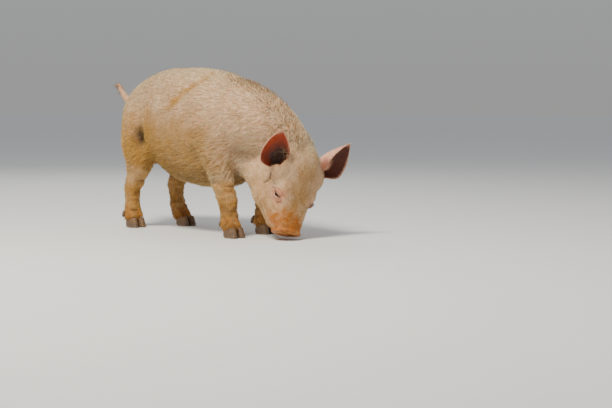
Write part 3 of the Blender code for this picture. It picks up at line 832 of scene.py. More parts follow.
def ear_marks(points, facing, part, fine):
    """The ears, red inside and pink outside and at the rim, with shade painted into their canals, into the cup
    of the right ear, and over the inside and fold of the left ear and the head beside it; as red, painted shade
    and blush.
    """
    red = shade_and_soil = blush = np.zeros(len(points))
    for k in SIDES:
        c, t, front, gap = ear_places(points, k)
        ear = ramp(0.25, 0.75, part[f"ear_{SIDES[k]}"]) * (gap < 0.02)
        inner = ear * ramp(-0.0004, 0.0006, front)
        edge = ramp(0.86, 0.97, np.maximum(np.abs(c), t))
        red = np.maximum(red, inner * (1 - 0.85 * edge) * (0.90 + 0.10 * fine))
        blush = np.maximum(blush, ear * np.where(inner > 0.5, 0.9 * edge, 0.75))
        # painted shade in the mouth of the canal
        canal = ramp(1.15, 0.70, canal_distance(c, t, 0.30, 0.26) + 0.12 * (fine - 0.5))
        shade_and_soil = np.maximum(shade_and_soil, inner * canal * (0.96 if k < 0 else 0.8))
        if k > 0:
            # the left ear: shade painted over its inside, on the head just before its leaf, and under the fold
            # at its inner edge that faces away
            within = (1 - ear) * ramp(0.0, 0.002, front) * ramp(0.96, 0.86, np.abs(c)) * ramp(0.0, 0.05, t)
            within = within * ramp(0.040, 0.034, gap)
            red = np.maximum(red, 0.9 * within)
            blush = np.maximum(blush, ear * (inner < 0.5) * 0.95)
            fold = ear * ramp(-0.55, -0.80, c) * ramp(0.50, 0.35, t) * ramp(0.0, -0.3, facing @ INTO_CUPS)
            shade_and_soil = raised(shade_and_soil, inner * (0.80 - 0.45 * edge), 0.80 * within, 0.45 * fold)
            red = np.maximum(red, 0.6 * fold)
            continue
        # the cup of the right ear as one looks into it, for its wall is partly flesh of the head; on the wall
        # that faces the way one looks in, shade is painted, deeper into the cup and darkest at the canal
        rim = ear * edge * np.maximum(ramp(-0.4, 0.0, c), ramp(0.40, 0.50, t))
        outside, before, c, t = cup_places(points, k)
        towards = ramp(0.15, -0.15, facing @ INTO_CUPS) * (before < 0.06)
        wall = towards * (before > -0.0045) * ramp(0.0018, -0.0008, outside) * (1 - 0.85 * rim)
        depth = ramp(0.022, 0.012, before)
        off = canal_distance(c, t, 0.34, 0.27)
        canal = ramp(1.20, 0.75, off + 0.12 * (fine - 0.5))
        shadow = ramp(2.30, 0.90, off + 0.25 * (fine - 0.5))
        shade_and_soil = raised(shade_and_soil, 0.97 * wall * depth * canal, 0.70 * wall * depth * shadow)
        red = np.maximum(red, wall * (0.25 + 0.75 * depth))
        lip = (1 - ear) * (before > 0.0) * (before < 0.06) * ramp(0.012, 0.003, outside)
        blush = np.maximum(blush, 0.95 * lip)
    return red, shade_and_soil, blush


def lid_shade(points, fine):
    """Painted shade at the edge of the slit between the lids, and in rings round it along the creases of the
    lids.
    """
    slit, eyes = np.full(len(points), 1.0), bpy.context.scene.pig_eyes
    for k in SIDES:
        _, _, z, radius, off = eye_places(points, k, eyes)
        slit = np.where((z > 0) & (radius < 0.03), off, slit)
    shade_and_soil = 0.9 * ramp(0.0018, 0.0005, slit)
    for ring, dark in EYE_RINGS:
        ring = ring + 0.0011 * lumps(points, 0.009, 3)
        shade_and_soil = np.maximum(shade_and_soil, dark * bell(slit, ring, 0.0009) * (0.2 + 0.8 * fine))
    return shade_and_soil


def markings(points, facing, part):
    """The masks that colour skin and coat alike, as a dict of shares over the vertices."""
    s, a, u = in_head(points).T
    away, forward, up = body_places(points)
    right = points[:, 0] < BODY_MIDDLE
    head, legs, ears = grouped(part)
    ham = part["ham"]
    body = 1 - head - ears - legs
    patchy = 0.5 + 0.5 * lumps(points, 0.035, 21)
    fine = 0.5 + 0.5 * lumps(points, 0.012, 22)

    # damp earth on the muzzle, more of it on the right, and on the feet
    earth = head * ramp(0.187, 0.232, a + 0.022 * patchy + 0.012 * fine)
    earth = earth * ramp(-0.06, -0.01, u) * (0.45 + 0.55 * fine)
    earth = raised(
        earth * (0.40 + 0.60 * ramp(0.042, 0.014, s)),
        head * ramp(0.222, 0.238, a) * (0.65 + 0.35 * fine),
        0.6 * part["foot"] * ramp(0.090, 0.040, up + 0.02 * patchy),
    )
    # dry dirt on belly, legs and hams, on the face and in the band down the flank; and painted shade in the
    # pocket, in the colour of that dirt
    ochre = body * ramp(0.450, 0.245, up + 0.07 * (patchy - 0.5)) * ramp(0.60, 0.15, facing[:, 2])
    ochre = ochre * (0.75 + 0.25 * ramp(0.03, -0.12, forward))
    ochre = raised(
        ochre * (1 - 0.75 * part["neck"]) * ramp(0.31, 0.12, forward + 0.25 * (up - 0.25)),
        0.18 * body,
        legs * (0.72 + 0.15 * ramp(0.17, 0.10, up) + 0.30 * (patchy - 0.5)),
        0.75 * ham * ramp(0.46, 0.26, up),
    )
    ochre = ochre * (1 - part["tail"]) + 0.30 * part["tail"]
    brow = ramp(0.050, 0.020, np.abs(s)) * ramp(0.030, 0.075, a) * ramp(0.0, 0.02, u)
    dusty = 0.38 + 0.34 * ramp(0.08, 0.18, a) * fine + 0.35 * brow * patchy
    profile = np.stack([forward, up], 1)
    flank = right * ramp(0.055, 0.080, away) * np.clip(body + part["limb"], 0, 1)
    # painted shade in the pocket between flank and thigh, laid in both as the dirt's colour and as shade
    pocket = -flank * groove(profile, POCKET, 0.0190, 1.0, 0.40)
    ochre = raised(ochre, head * np.clip(dusty, 0, 1), smear_marks(points, fine), pocket)
    # the skin is pink and clean round the eyes
    around_eye = sum(np.exp(-((distances(points, eye_axes(k)[0]) / 0.023) ** 2)) for k in SIDES)
    ochre = ochre * (1 - 0.85 * np.clip(1.5 * around_eye, 0, 1))
    blush = raised(
        body * (0.12 + 0.32 * patchy * ramp(0.46, 0.34, up)) + 0.35 * ham * ramp(0.36, 0.25, up),
        body * 0.75 * bell(up, 0.285, 0.04) * ramp(-0.10, 0.10, -forward) * patchy,
        0.55 * part["tail"],
        body * 0.60 * part["neck"] * patchy,
        head * np.clip(1.8 * around_eye, 0, 1),
        head * 0.24 * patchy,
    )
    red, shade_and_soil, pink = ear_marks(points, facing, part, fine)
    # painted shade in the furrows, folds and rings, the pocket, the crease behind the elbow, the troughs of the
    # leg wrinkles and the nostrils, under the belly, between the hams and over the left orbit; and specks of
    # soil
    plan = np.stack([a, u], 1)
    sideways = ramp(0.25, 0.6, np.abs(facing @ np.array(HEAD_TURN)[:, 0])) * head
    for path, width, _, dark in FACE_FURROWS:
        shade_and_soil = np.maximum(shade_and_soil, -sideways * groove(plan, path, width, dark))
    cleft = bell(points[:, 0], BODY_MIDDLE, 0.008) * ramp(0.2, 0.6, facing[:, 1]) * ramp(0.42, 0.37, up)
    deep = ramp(HEAD_LENGTH - 0.014, HEAD_LENGTH - 0.006, a)
    soil = ramp(0.45, 0.85, 0.5 + 0.5 * lumps(points, 0.007, 23))
    soil = soil * (head * ramp(0.205, 0.245, a) + part["foot"])
    # painted shade over the left eye's orbit
    left_orbit = head * bell(distances(points, eye_axes(1)[0]), 0.010, 0.011)
    shade_and_soil = raised(
        shade_and_soil,
        pocket * (0.75 + 0.25 * fine),
        -flank * groove(profile, ELBOW[1:], 0.0100, 0.40, 0.3) * (0.6 + 0.4 * fine),
        0.5 * cleft * body * (1 - part["tail"]),
        # painted shade under the belly, where the skin faces down
        0.34 * body * ramp(-0.25, -0.8, facing[:, 2]) * ramp(0.30, 0.24, up),
        0.50 * legs * ramp(0.10, 0.65, -leg_rows(points)) * (0.4 + 0.6 * patchy),
        lid_shade(points, fine),
        ramp(0.95, 0.6, nostril_distance(s, u)) * deep,
        0.42 * soil,
        0.65 * left_orbit * (0.6 + 0.4 * fine),
    )
    masks = {
        "face": head * ramp(-0.03, 0.05, a) + ears,
        "earth": earth,
        "ochre": ochre,
        "blush": np.maximum(blush, pink),
        "ear_red": red,
        "shade_and_soil": shade_and_soil,
        "snout_disc": part["snout"] * ramp(0.232, 0.240, a),
    }
    return {name: np.clip(values, 0, 1) for name, values in masks.items()}


def lie_of_coat(points, facing, part):
    """The direction in which bristles lie, along the skin."""
    s = in_head(points)[:, 0]
    _, forward, up = body_places(points)
    body = np.stack([0 * s, np.ones(len(s)), -0.28 * np.abs(facing[:, 0])], 1)
    rump = (ramp(0.20, 0.34, -forward) * ramp(0.1, 0.3, up))[:, None]
    body = body * (1 - rump) + np.array([0, 0.45, -0.9]) * rump
    ham = part["ham"][:, None]
    body = body * (1 - 0.6 * ham) + np.array([0, 0.5, -0.8]) * 0.6 * ham
    down = np.array([0, 0.18, -1.0])
    head, limbs, _ = grouped(part)
    turn = np.array(HEAD_TURN)
    to_poll = head_direction(0, -1, 0)
    fan = np.outer(np.clip(s / 0.06, -1, 1), turn[:, 0]) * 0.35
    cheek = ramp(0.4, 0.9, np.abs(facing @ turn[:, 0]))[:, None] * (turn[:, 2] * -0.35)
    ear = {k: part[f"ear_{SIDES[k]}"] for k in SIDES}
    flow = body * np.clip(1 - limbs - head - ear[1] - ear[-1], 0, 1)[:, None]
    flow = flow + down * limbs[:, None] + (to_poll + fan + cheek) * head[:, None]
    for k in SIDES:
        flow = flow + list(ear_axes(k))[1] * ear[k][:, None]
    flow = flow + np.array([0, 0.6, 0.7]) * part["tail"][:, None]
    return along_skin(flow, facing)


# --- Materials ---


class Board:
    """A short way to lay out shader nodes."""

    def __init__(self, tree, owner=None):
        self.tree, self.nodes, self.owner = tree, tree.nodes, owner

    def feed(self, socket, value):
        if isinstance(value, bpy.types.NodeSocket):
            self.tree.links.new(value, socket)
        elif hasattr(value, "__len__") and len(value) == 3 and socket.type == "RGBA":
            socket.default_value = (*value, 1)
        else:
            socket.default_value = value

    def fed(self, node, inputs):
        """The node, with links or numbers in the named inputs."""
        for name, value in inputs.items():
            self.feed(node.inputs[name], value)
        return node

    def new(self, kind, inputs=None):
        return self.fed(self.nodes.new(f"ShaderNode{kind}"), inputs or {})

    def attribute(self, name, output="Fac"):
        node = self.new("Attribute")
        node.attribute_name = name
        return node.outputs[output]

    def place(self, scale=(1, 1, 1), of=None):
        if of is None:
            of = self.new("TexCoord").outputs["Object"]
        return self.new("Mapping", {"Scale": scale, "Vector": of}).outputs["Vector"]

    def axes(self, vector):
        return self.new("SeparateXYZ", {0: vector}).outputs

    def noise(self, vector, scale, detail=3.0, rough=0.55):
        inputs = {"Vector": vector, "Scale": scale, "Detail": detail, "Roughness": rough}
        return self.new("TexNoise", inputs).outputs["Fac"]

    def span(self, value, low, high, to_low=0.0, to_high=1.0):
        inputs = {"Value": value, "From Min": low, "From Max": high, "To Min": to_low, "To Max": to_high}
        return self.new("MapRange", inputs).outputs["Result"]

    def math(self, operation, a, b=0.0, clamp=False):
        node = self.new("Math", {0: a, 1: b})
        node.operation = operation
        node.use_clamp = clamp
        return node.outputs[0]

    def times(self, a, b, clamp=False):
        return self.math("MULTIPLY", a, b, clamp)

    def plus(self, a, b):
        return self.math("ADD", a, b)

    def mix(self, share, a, b, blend="MIX"):
        node = self.nodes.new("ShaderNodeMix")
        node.data_type = "RGBA"
        node.blend_type = blend
        return self.fed(node, {0: share, 6: a, 7: b}).outputs[2]

    def bump(self, height, strength, distance, normal=None):
        node = self.new("Bump", {"Height": height, "Strength": strength, "Distance": distance})
        if normal is not None:
            self.feed(node.inputs["Normal"], normal)
        return node.outputs["Normal"]


def shaded(colour, factor):
    return tuple(c * factor for c in colour)


def new_board(name):
    """The nodes of a new material."""
    made = bpy.data.materials.new(name)
    made.use_nodes = True
    return Board(made.node_tree, made)


def painted(board, inputs):
    """The material that the board belongs to, once its surface is fed."""
    board.fed(board.nodes["Principled BSDF"], inputs)
    return board.owner


def new_group(name, inputs, outputs):
    """An empty node group: inputs and outputs are (name, socket type, default or None)."""
    tree = bpy.data.node_groups.new(name, "ShaderNodeTree")
    for direction, sockets in (("INPUT", inputs), ("OUTPUT", outputs)):
        for label, kind, default in sockets:
            socket = tree.interface.new_socket(label, in_out=direction, socket_type=kind)
            if default is not None:
                socket.default_value = default
    board = Board(tree)
    return tree, board, tree.nodes.new("NodeGroupInput"), tree.nodes.new("NodeGroupOutput")


def markings_group():
    """Colours the markings that skin and coat share over a ground colour."""
    found = bpy.data.node_groups.get("pig_markings")
    if found:
        return found
    skin = bpy.context.scene.pig_skin
    one, paint, ochre = "NodeSocketFloat", "NodeSocketColor", (*skin.ochre, 1)
    tree, board, given, out = new_group(
        "pig_markings",
        [("Ground", paint, None), ("Ochre", paint, ochre), ("Dirt", one, 1.0), ("Flush", one, 1.0)],
        [("Color", paint, None), ("Soil", one, None)],
    )
    place, mask = board.place(), board.attribute
    fine = board.noise(place, 230, 5, 0.65)
    coarse = board.noise(place, 38, 4, 0.6)
    # streaks along the coat, but not on the face
    streak = board.noise(board.place((330, 42, 42), mask("flow", "Vector")), 1.0, 3)
    streak = board.times(board.math("SUBTRACT", streak, fine), board.span(mask("face"), 0.0, 1.0, 1.0, 0.0))
    streak = board.plus(streak, fine)
    broken = board.times(board.span(fine, 0.30, 0.62), board.span(coarse, 0.25, 0.60), True)
    flush = board.times(mask("blush"), board.span(coarse, 0.3, 0.7, 0.55, 1.0))
    flush = board.times(flush, given.outputs["Flush"], True)
    shade = board.mix(flush, given.outputs["Ground"], skin.blush)
    # the dirt lies in streaks where it is thin and covers all where it is thick
    thin = board.plus(mask("ochre"), board.span(streak, 0.35, 0.65, -0.15, 0.12))
    thin = board.plus(thin, board.span(coarse, 0.35, 0.65, -0.07, 0.07))
    ochre = board.times(board.span(thin, 0.0, 0.95), given.outputs["Dirt"], True)
    shade = board.mix(ochre, shade, given.outputs["Ochre"])
    shade = board.mix(board.span(streak, 0.50, 0.36, 0.0, 0.55), shade, skin.ochre)
    earth = board.plus(mask("earth"), board.span(broken, 0.0, 0.7, -0.40, 0.12))
    earth = board.times(board.span(earth, -0.05, 0.85), board.span(fine, 0.3, 0.6, 0.72, 1.0), True)
    shade = board.mix(earth, shade, skin.earth)
    # the red inside the ears, then the painted shade of folds and hollows, with specks of soil
    for name in ("ear_red", "shade_and_soil"):
        shade = board.mix(mask(name), shade, getattr(skin, name))
    board.fed(out, {"Color": shade, "Soil": board.math("MAXIMUM", earth, board.times(ochre, 0.5))})
    return tree


def marked(board, inputs):
    """The markings as a node, over the ground colour in inputs."""
    node = board.new("Group")
    node.node_tree = markings_group()
    return board.fed(node, inputs).outputs


def skin_material():
    skin = bpy.context.scene.pig_skin
    board = new_board("pig_skin")
    place, mask = board.place(), board.attribute
    mottle = board.span(board.noise(place, 24, 5, 0.6), 0.35, 0.65)
    given = marked(board, {"Ground": board.mix(mottle, skin.pale, shaded(skin.pale, 0.86))})
    # dark specks, most of them inside the ears
    speck = board.span(board.noise(place, 270, 3, 0.6), 0.52, 0.62)
    blots = board.times(speck, board.span(board.noise(place, 80, 3, 0.6), 0.36, 0.56))
    specks = board.times(blots, board.span(mask("ear_red"), 0.0, 1.0, 0.10, 0.85))
    rough = board.span(given["Soil"], 0.0, 1.0, 0.52, 0.80)
    damp = board.times(mask("snout_disc"), 0.35)
    # the bump: flat undercoat in streaks, pores, and clods of soil
    streaks = board.noise(board.place((420, 34, 34), mask("flow", "Vector")), 1.0, 3, 0.6)
    smooth = board.math("MAXIMUM", mask("bare"), board.times(mask("face"), 0.9))
    normal = board.bump(board.times(streaks, board.span(smooth, 0.0, 1.0, 1.0, 0.08)), 0.8, 0.0012)
    normal = board.bump(board.noise(place, 900, 2, 0.5), 0.25, 0.0006, normal)
    clods = board.times(board.noise(place, 300, 5, 0.7), given["Soil"])
    inputs = {
        "Base Color": board.mix(specks, given["Color"], (0.045, 0.012, 0.006)),
        "Roughness": board.math("SUBTRACT", rough, damp),
        "Specular IOR Level": 0.3,
        "Subsurface Weight": 0.08,
        "Subsurface Radius": (1.0, 0.35, 0.2),
        "Subsurface Scale": 0.004,
        "Normal": board.bump(clods, 0.9, 0.0026, normal),
    }
    return painted(board, inputs)


def coat_material(name, ground, dirt=0.9, flush=0.42):
    """Bristles: darker at the root and paler at the tip, and stained as the skin under them is."""
    found = bpy.data.materials.get(name)
    if found:
        return found
    board = new_board(name)
    tone = board.attribute("tone")
    dark = tuple(c * f for c, f in zip(ground, (0.68, 0.56, 0.38)))
    inputs = {
        "Ground": board.mix(board.span(tone, 0.05, 0.50), dark, ground),
        "Ochre": bpy.context.scene.pig_skin.golden,
        "Dirt": dirt,
        "Flush": flush,
    }
    colour = marked(board, inputs)["Color"]
    root = board.mix(1.0, colour, (0.82, 0.71, 0.57), "MULTIPLY")
    inputs = {
        "Base Color": board.mix(board.span(board.attribute("along"), 0.0, 0.8), root, colour),
        "Roughness": board.span(tone, 0.0, 1.0, 0.60, 0.44),
        "Specular IOR Level": 0.35,
    }
    return painted(board, inputs)


def horn_material():
    hoofs = bpy.context.scene.pig_hoofs
    board = new_board("hoof_horn")
    place = board.place()
    grain = board.noise(board.place((260, 260, 30)), 1.0, 4, 0.6)
    rings = board.noise(board.place((12, 12, 420)), 1.0, 2, 0.5)
    height = board.axes(place)["Z"]
    worn = board.span(board.plus(height, board.times(grain, 0.006)), 0.010, 0.001)
    shade = board.mix(board.span(grain, 0.35, 0.65), hoofs.horn, shaded(hoofs.horn, 1.7))
    shade = board.mix(board.times(worn, 0.7, True), shade, hoofs.worn)
    mud = board.span(board.noise(place, 210, 5, 0.7), 0.46, 0.64)
    mud = board.times(mud, board.span(height, 0.004, 0.030, 0.25, 0.75))
    inputs = {
        "Base Color": board.mix(mud, shade, bpy.context.scene.pig_skin.ochre),
        "Roughness": board.span(mud, 0.0, 1.0, 0.42, 0.85),
        "Normal": board.bump(grain, 0.4, 0.0006, board.bump(rings, 0.5, 0.0010)),
    }
    return painted(board, inputs)


def eye_material(side):
    """Dark pupil, brown iris and a dull white, by how far a point lies off the line of sight."""
    centre, gaze, corner, upper = eye_axes(side)
    eyes = bpy.context.scene.pig_eyes
    board = new_board(f"eye_{SIDES[side]}_wet")
    mapping = board.new("Mapping")
    mapping.vector_type = "TEXTURE"
    turn = Matrix((corner, upper, gaze)).transposed().to_euler()
    place = board.new("TexCoord").outputs["Object"]
    board.fed(mapping, {"Location": centre, "Rotation": turn, "Vector": place})
    x, y, _ = board.axes(mapping.outputs["Vector"])
    off = board.math("SQRT", board.plus(board.times(x, x), board.times(y, y)))
    fibres = board.span(board.noise(mapping.outputs["Vector"], 900, 3, 0.6), 0.35, 0.65)
    iris = board.mix(fibres, eyes.iris, shaded(eyes.iris, 2.4))
    shade = board.mix(board.span(off, 0.0026, 0.0031), (0.004, 0.003, 0.003), iris)
    inputs = {
        "Base Color": board.mix(board.span(off, 0.0060, 0.0068), shade, (0.07, 0.04, 0.03)),
        "Roughness": 0.10,
        "Specular IOR Level": 0.25,
        "Coat Weight": 0.25,
        "Coat Roughness": 0.03,
    }
    return painted(board, inputs)


# --- Growing bristles ---


class Ground:
    """The finished skin as arrays, from which bristles grow."""

    def __init__(self, skin, pattern):
        mesh = skin.data
        self.points = coords(mesh)
        self.facing = normals(mesh)
        self.tris = triangles(mesh)
        a, b, c = (self.points[self.tris[:, k]] for k in range(3))
        self.areas = np.linalg.norm(np.cross(b - a, c - a), axis=1) / 2
        self.surface = BVHTree.FromPolygons(self.points.tolist(), self.tris.tolist())
        self.tree = BVHTree.FromObject(pattern, bpy.context.evaluated_depsgraph_get())
        loops = column(pattern.data.loops, "vertex_index", kind=np.int32)
        corners = column(pattern.data.polygons, "loop_start", kind=np.int32)[:, None] + np.arange(3)
        self.pattern_corners = coords(pattern.data)[loops[corners]]
        self.pattern_uv = column(pattern.data.uv_layers["OFBake"].uv, "vector", 2)[corners]

    def sample(self, rng, density):
        """Random places with density bristles to the square metre, given on vertices."""
        per_tri = density[self.tris].mean(axis=1) * self.areas
        count = rng.poisson(per_tri.sum())
        chosen = rng.choice(len(self.tris), count, p=per_tri / per_tri.sum())
        r1, r2 = np.sqrt(rng.random(count)), rng.random(count)
        shares = np.stack([1 - r1, r1 * (1 - r2), r1 * r2], 1)
        return self.tris[chosen], shares

    def at(self, values, corners, shares):
        """Values at random places. They are given on the vertices, or as one number for all."""
        if np.ndim(values) == 0:
            values = np.full(len(self.points), values)
        picked = values[corners]
        if picked.ndim == 2:
            return (picked * shares).sum(axis=1)
        return (picked * shares[:, :, None]).sum(axis=1)

    def above(self, points, height):
        """Points drawn out of the skin until they lie at least height above it."""
        place, out, _ = nearest(self.surface, points)
        rise = ((points - place) * out).sum(axis=1)
        return points + out * np.maximum(height - rise, 0)[:, None]

    def unwrapped(self, points):
        """Where each point lies on the flat unwrap of the skin."""
        place, _, index = nearest(self.tree, points)
        a, b, c = (self.pattern_corners[index, k] for k in range(3))
        u, v, w = b - a, c - a, place - a
        uu, uv, vv = (u * u).sum(1), (u * v).sum(1), (v * v).sum(1)
        wu, wv = (w * u).sum(1), (w * v).sum(1)
        det = np.maximum(uu * vv - uv * uv, 1e-18)
        s, t = (vv * wu - uv * wv) / det, (uu * wv - uv * wu) / det
        shares = np.clip(np.stack([1 - s - t, s, t], 1), 0, 1)
        shares /= shares.sum(axis=1, keepdims=True)
        return (self.pattern_uv[index] * shares[:, :, None]).sum(axis=1)


PATCH = 0.003  # the width of a bristle's patch on the OFBake map
ROOT_DEPTH = 0.0007  # how far a bristle starts below the skin
MID_CLEAR, TIP_CLEAR = 0.0010, 0.0016  # how far its middle and tip stand off the skin at least
MID_WIDTH = 0.72  # its width in the middle, as a share of that at the root
# The triangles of one bristle: the root, the wall between the two rings of three points, and the tip.
ROOT, WALL = [(0, 2, 1)], [(0, 1, 4), (0, 4, 3), (1, 2, 5), (1, 5, 4), (2, 0, 3), (2, 3, 5)]
TUFT_FACES = np.array(ROOT + WALL + [(3, 4, 6), (4, 5, 6), (5, 3, 6)])
TUFT_POINTS = 7
MOST_TUFTS = 19800


def tuft_points(root, mid, tip, flat, half):
    """The points of each bent, three-sided spike: two rings and the tip."""
    first = unit(mid - root)
    over = unit(np.cross(first, flat))
    up = np.cross(over, first)
    points = np.empty((len(root), TUFT_POINTS, 3))
    for k, angle in enumerate((90, 210, 330)):
        turn = math.radians(angle)
        rim = over * math.cos(turn) + up * math.sin(turn)
        points[:, k] = root + rim * half[:, None]
        points[:, 3 + k] = mid + rim * half[:, None] * MID_WIDTH
    points[:, 6] = tip
    return points


def tuft_pieces(name, points, place, values, material):
    """Makes objects of no more than MOST_TUFTS bristles each, with their attributes and OFBake map."""
    offsets = np.array([(-1, -1), (0, -1), (1, -1), (-1, 0), (0, 0), (1, 0), (0, 1)]) * PATCH / 2
    groups = int(math.ceil(len(points) / MOST_TUFTS))
    for k in range(groups):
        some = slice(k * len(points) // groups, (k + 1) * len(points) // groups)
        mine = points[some]
        count = len(mine)
        faces = (TUFT_FACES[None] + TUFT_POINTS * np.arange(count)[:, None, None]).reshape(-1, 3)
        label = name if groups == 1 else f"{name}_{k + 1}"
        mesh = bpy.data.meshes.new(label)
        mesh.vertices.add(count * TUFT_POINTS)
        mesh.vertices.foreach_set("co", mine.astype(np.float32).ravel())
        mesh.loops.add(len(faces) * 3)
        mesh.loops.foreach_set("vertex_index", faces.astype(np.int32).ravel())
        mesh.polygons.add(len(faces))
        mesh.polygons.foreach_set("loop_start", np.arange(0, len(faces) * 3, 3, dtype=np.int32))
        mesh.update(calc_edges=True)
        uv = (place[some][:, None] + offsets).reshape(-1, 2)[faces.ravel()]
        layer = mesh.uv_layers.new(name="OFBake")
        layer.data.foreach_set("uv", np.clip(uv, 0, 1).astype(np.float32).ravel())
        for key, value in values.items():
            attribute(mesh, key, np.repeat(value[some], TUFT_POINTS, axis=0))
        attribute(mesh, "along", np.tile([0, 0, 0, 0.5, 0.5, 0.5, 1.0], count))
        mesh.shade_smooth()
        piece = bpy.data.objects.new(label, mesh)
        bpy.context.scene.collection.objects.link(piece)
        finished(piece, material)


def bristles(
    ground, name, seed, density, length, lift, half, clump, material, spacing,
    grain=(1, 1, 1), ragged=0.08, bend=0.5,
):
    """Grows bristles over the skin: density of them to the square metre, lift degrees off it, and drawn into
    locks by a share of clump. half is half their width at the root. density is given on the vertices; length,
    lift and clump are too, or each as one number. Locks lie spacing apart, in a space that grain stretches
    along the coat. ragged turns single hairs aside. bend curves them towards the skin, or away if below 0."""
    rng = np.random.default_rng(seed)
    corners, shares = ground.sample(rng, density)

    def at(values):
        return ground.at(values, corners, shares)

    root, facing, lie = at(ground.points), unit(at(ground.facing)), at(ground.lie)
    lie = along_skin(lie, facing)
    cross = np.cross(facing, lie)
    count = len(root)
    wave = lumps(root, 0.020, seed) * 0.11
    lie = unit(lie + cross * (rng.normal(0, ragged, count) + wave)[:, None])
    long = at(length) * rng.uniform(0.65, 1.25, count)
    angle = np.radians(at(lift)) * rng.uniform(0.6, 1.5, count)
    steep, low = angle * (1 + bend), angle * (1 - bend)

    def half_way(start, angle):
        way = lie * np.cos(angle)[:, None] + facing * np.sin(angle)[:, None]
        return start + way * (long * 0.5)[:, None]

    base = root - facing * ROOT_DEPTH
    mid = half_way(base, steep)
    tip = half_way(mid, low)
    # locks: bristles near each other lean together
    area = 1.0 / np.maximum(at(density), 1.0)
    leaders = np.flatnonzero(rng.random(count) < area / (spacing**2 / min(grain)))
    packed = root * grain
    gather = at(clump)
    tone = rng.random(count)
    if len(leaders) > 10:
        tree = kd_tree(packed, leaders)
        near = np.array([tree.find(p)[1:] for p in packed])
        chief, distance = near[:, 0].astype(int), near[:, 1]
        pull = gather * ramp(2.4, 1.2, distance / spacing)
        scatter = rng.normal(0, 0.0004, (count, 3))
        drawn = tip[chief] + scatter - tip
        along = (drawn * lie).sum(1, keepdims=True) * lie
        drawn = drawn - along * 0.75
        tip = tip + drawn * pull[:, None]
        mid = mid + drawn * (pull * 0.35)[:, None]
        tone = tone * (1 - 0.6 * gather) + 0.6 * gather * rng.random(count)[chief]
    mid, tip = ground.above(mid, MID_CLEAR), ground.above(tip, TIP_CLEAR)
    thick = half * rng.uniform(0.75, 1.25, count) * at(ground.slender)
    points = tuft_points(base, mid, tip, facing, thick)
    values = {key: at(value) for key, value in ground.values.items()}
    values["tone"] = tone
    tuft_pieces(name, points, ground.unwrapped(root), values, material)


# --- Operators ---


store = {}  # what the skin hands on to the coat
PROUD = 0.0012  # how far the flesh swells before its mesh is made anew, so that its nodes melt together


def unwrapped_pattern():
    """The flesh as it is packed, with the unwrap on which every bristle has its patch."""
    pattern = node_copies(FLESH, "pattern")
    with editing(pattern):
        bpy.ops.uv.smart_project(angle_limit=math.radians(66), island_margin=0.003)
    pattern.data.uv_layers[0].name = "OFBake"
    pattern.hide_render = True
    return pattern


def rough_skin(settings, pattern):
    """One closed skin over flesh, eyeballs and ears, sunk to the foot of the coat."""
    body = node_copies([n for n in FLESH if not n.startswith("ear")], "skin")
    for word in ("left", "right"):
        body = joined([body, free_copy(f"eye_{word}")], "skin")
    modified(body, "DISPLACE", strength=PROUD, mid_level=0)
    modified(body, "REMESH", mode="VOXEL", voxel_size=settings.body_voxel)
    body = largest_shell(body)
    points, edges = coords(body.data), edge_ends(body.data)
    part = part_masks(points, pattern, edges, 6)
    fine = part["snout"] + part["tail"]
    hold = 1 - 0.50 * part["head"] - 0.80 * (part["limb"] + part["foot"]) - 0.93 * fine
    set_coords(body.data, spread(points, edges, 44, 0.5 * np.clip(hold, 0.02, 1)))
    set_coords(body.data, behind_ears(coords(body.data)))
    skin = joined([body, *(ear_leaf(k) for k in SIDES)], "skin")
    modified(skin, "REMESH", mode="VOXEL", voxel_size=settings.skin_voxel)
    skin = largest_shell(skin)

    points, edges = coords(skin.data), edge_ends(skin.data)
    part = part_masks(points, pattern, edges, 8)
    _, limbs, ears = grouped(part)
    head = part["head"]
    joint = 4 * ears * np.clip(head, 0, 1)
    points = spread(points, edges, 8, 0.5 * np.clip(0.25 + joint, 0, 1) * (1 - 0.6 * ears))
    set_coords(skin.data, points)
    depth = settings.coat_depth * (1 - 0.5 * head - 0.55 * limbs - 0.9 * part["snout"] - 0.55 * part["tail"])
    depth = np.maximum(depth, 0) + PROUD * (1 - ears) * (1 - 0.5 * limbs) - settings.coat_depth * ears
    set_coords(skin.data, points - normals(skin.data) * np.maximum(depth, 0)[:, None])
    kept_masks(skin.data, part)
    return skin


def sculpt(skin, eyes):
    """Refines the face and makes folds, lids and nostrils. Returns which vertices are fine, and the regions."""
    mesh = skin.data
    centres = [eye_axes(k)[0] for k in SIDES]
    tip = np.array(from_head(0, HEAD_LENGTH, 0))

    def near_eyes(p, reach=0.026):
        return np.minimum(*(distances(p, c) for c in centres)) < reach

    refined(skin, lambda p: near_eyes(p) | (distances(p, tip) < 0.052))
    refined(skin, lambda p: near_eyes(p, 0.021))
    points = coords(mesh)
    fine = near_eyes(points, 0.030) | (distances(points, tip) < 0.055)
    points = spread(points, edge_ends(mesh), 4, 0.5 * fine)
    set_coords(mesh, points)
    facing = normals(mesh)
    part = read_masks(mesh)
    head = grouped(part)[0]
    lift = face_relief(points, facing) * head + body_relief(points, facing, part) * (1 - head)
    outside, before = cup_places(points, -1)[:2]
    lift += 0.0012 * head * bell(outside, 0.0030, 0.0030) * (before > 0.004) * (before < 0.06)
    for centre in centres:
        lift *= ramp(0.011, 0.019, distances(points, centre))
    points = nostrils(points + facing * lift[:, None])
    for k in SIDES:
        points = lids(points, k, eyes)
    set_coords(mesh, points)
    kept_masks(mesh, part)
    return fine, part


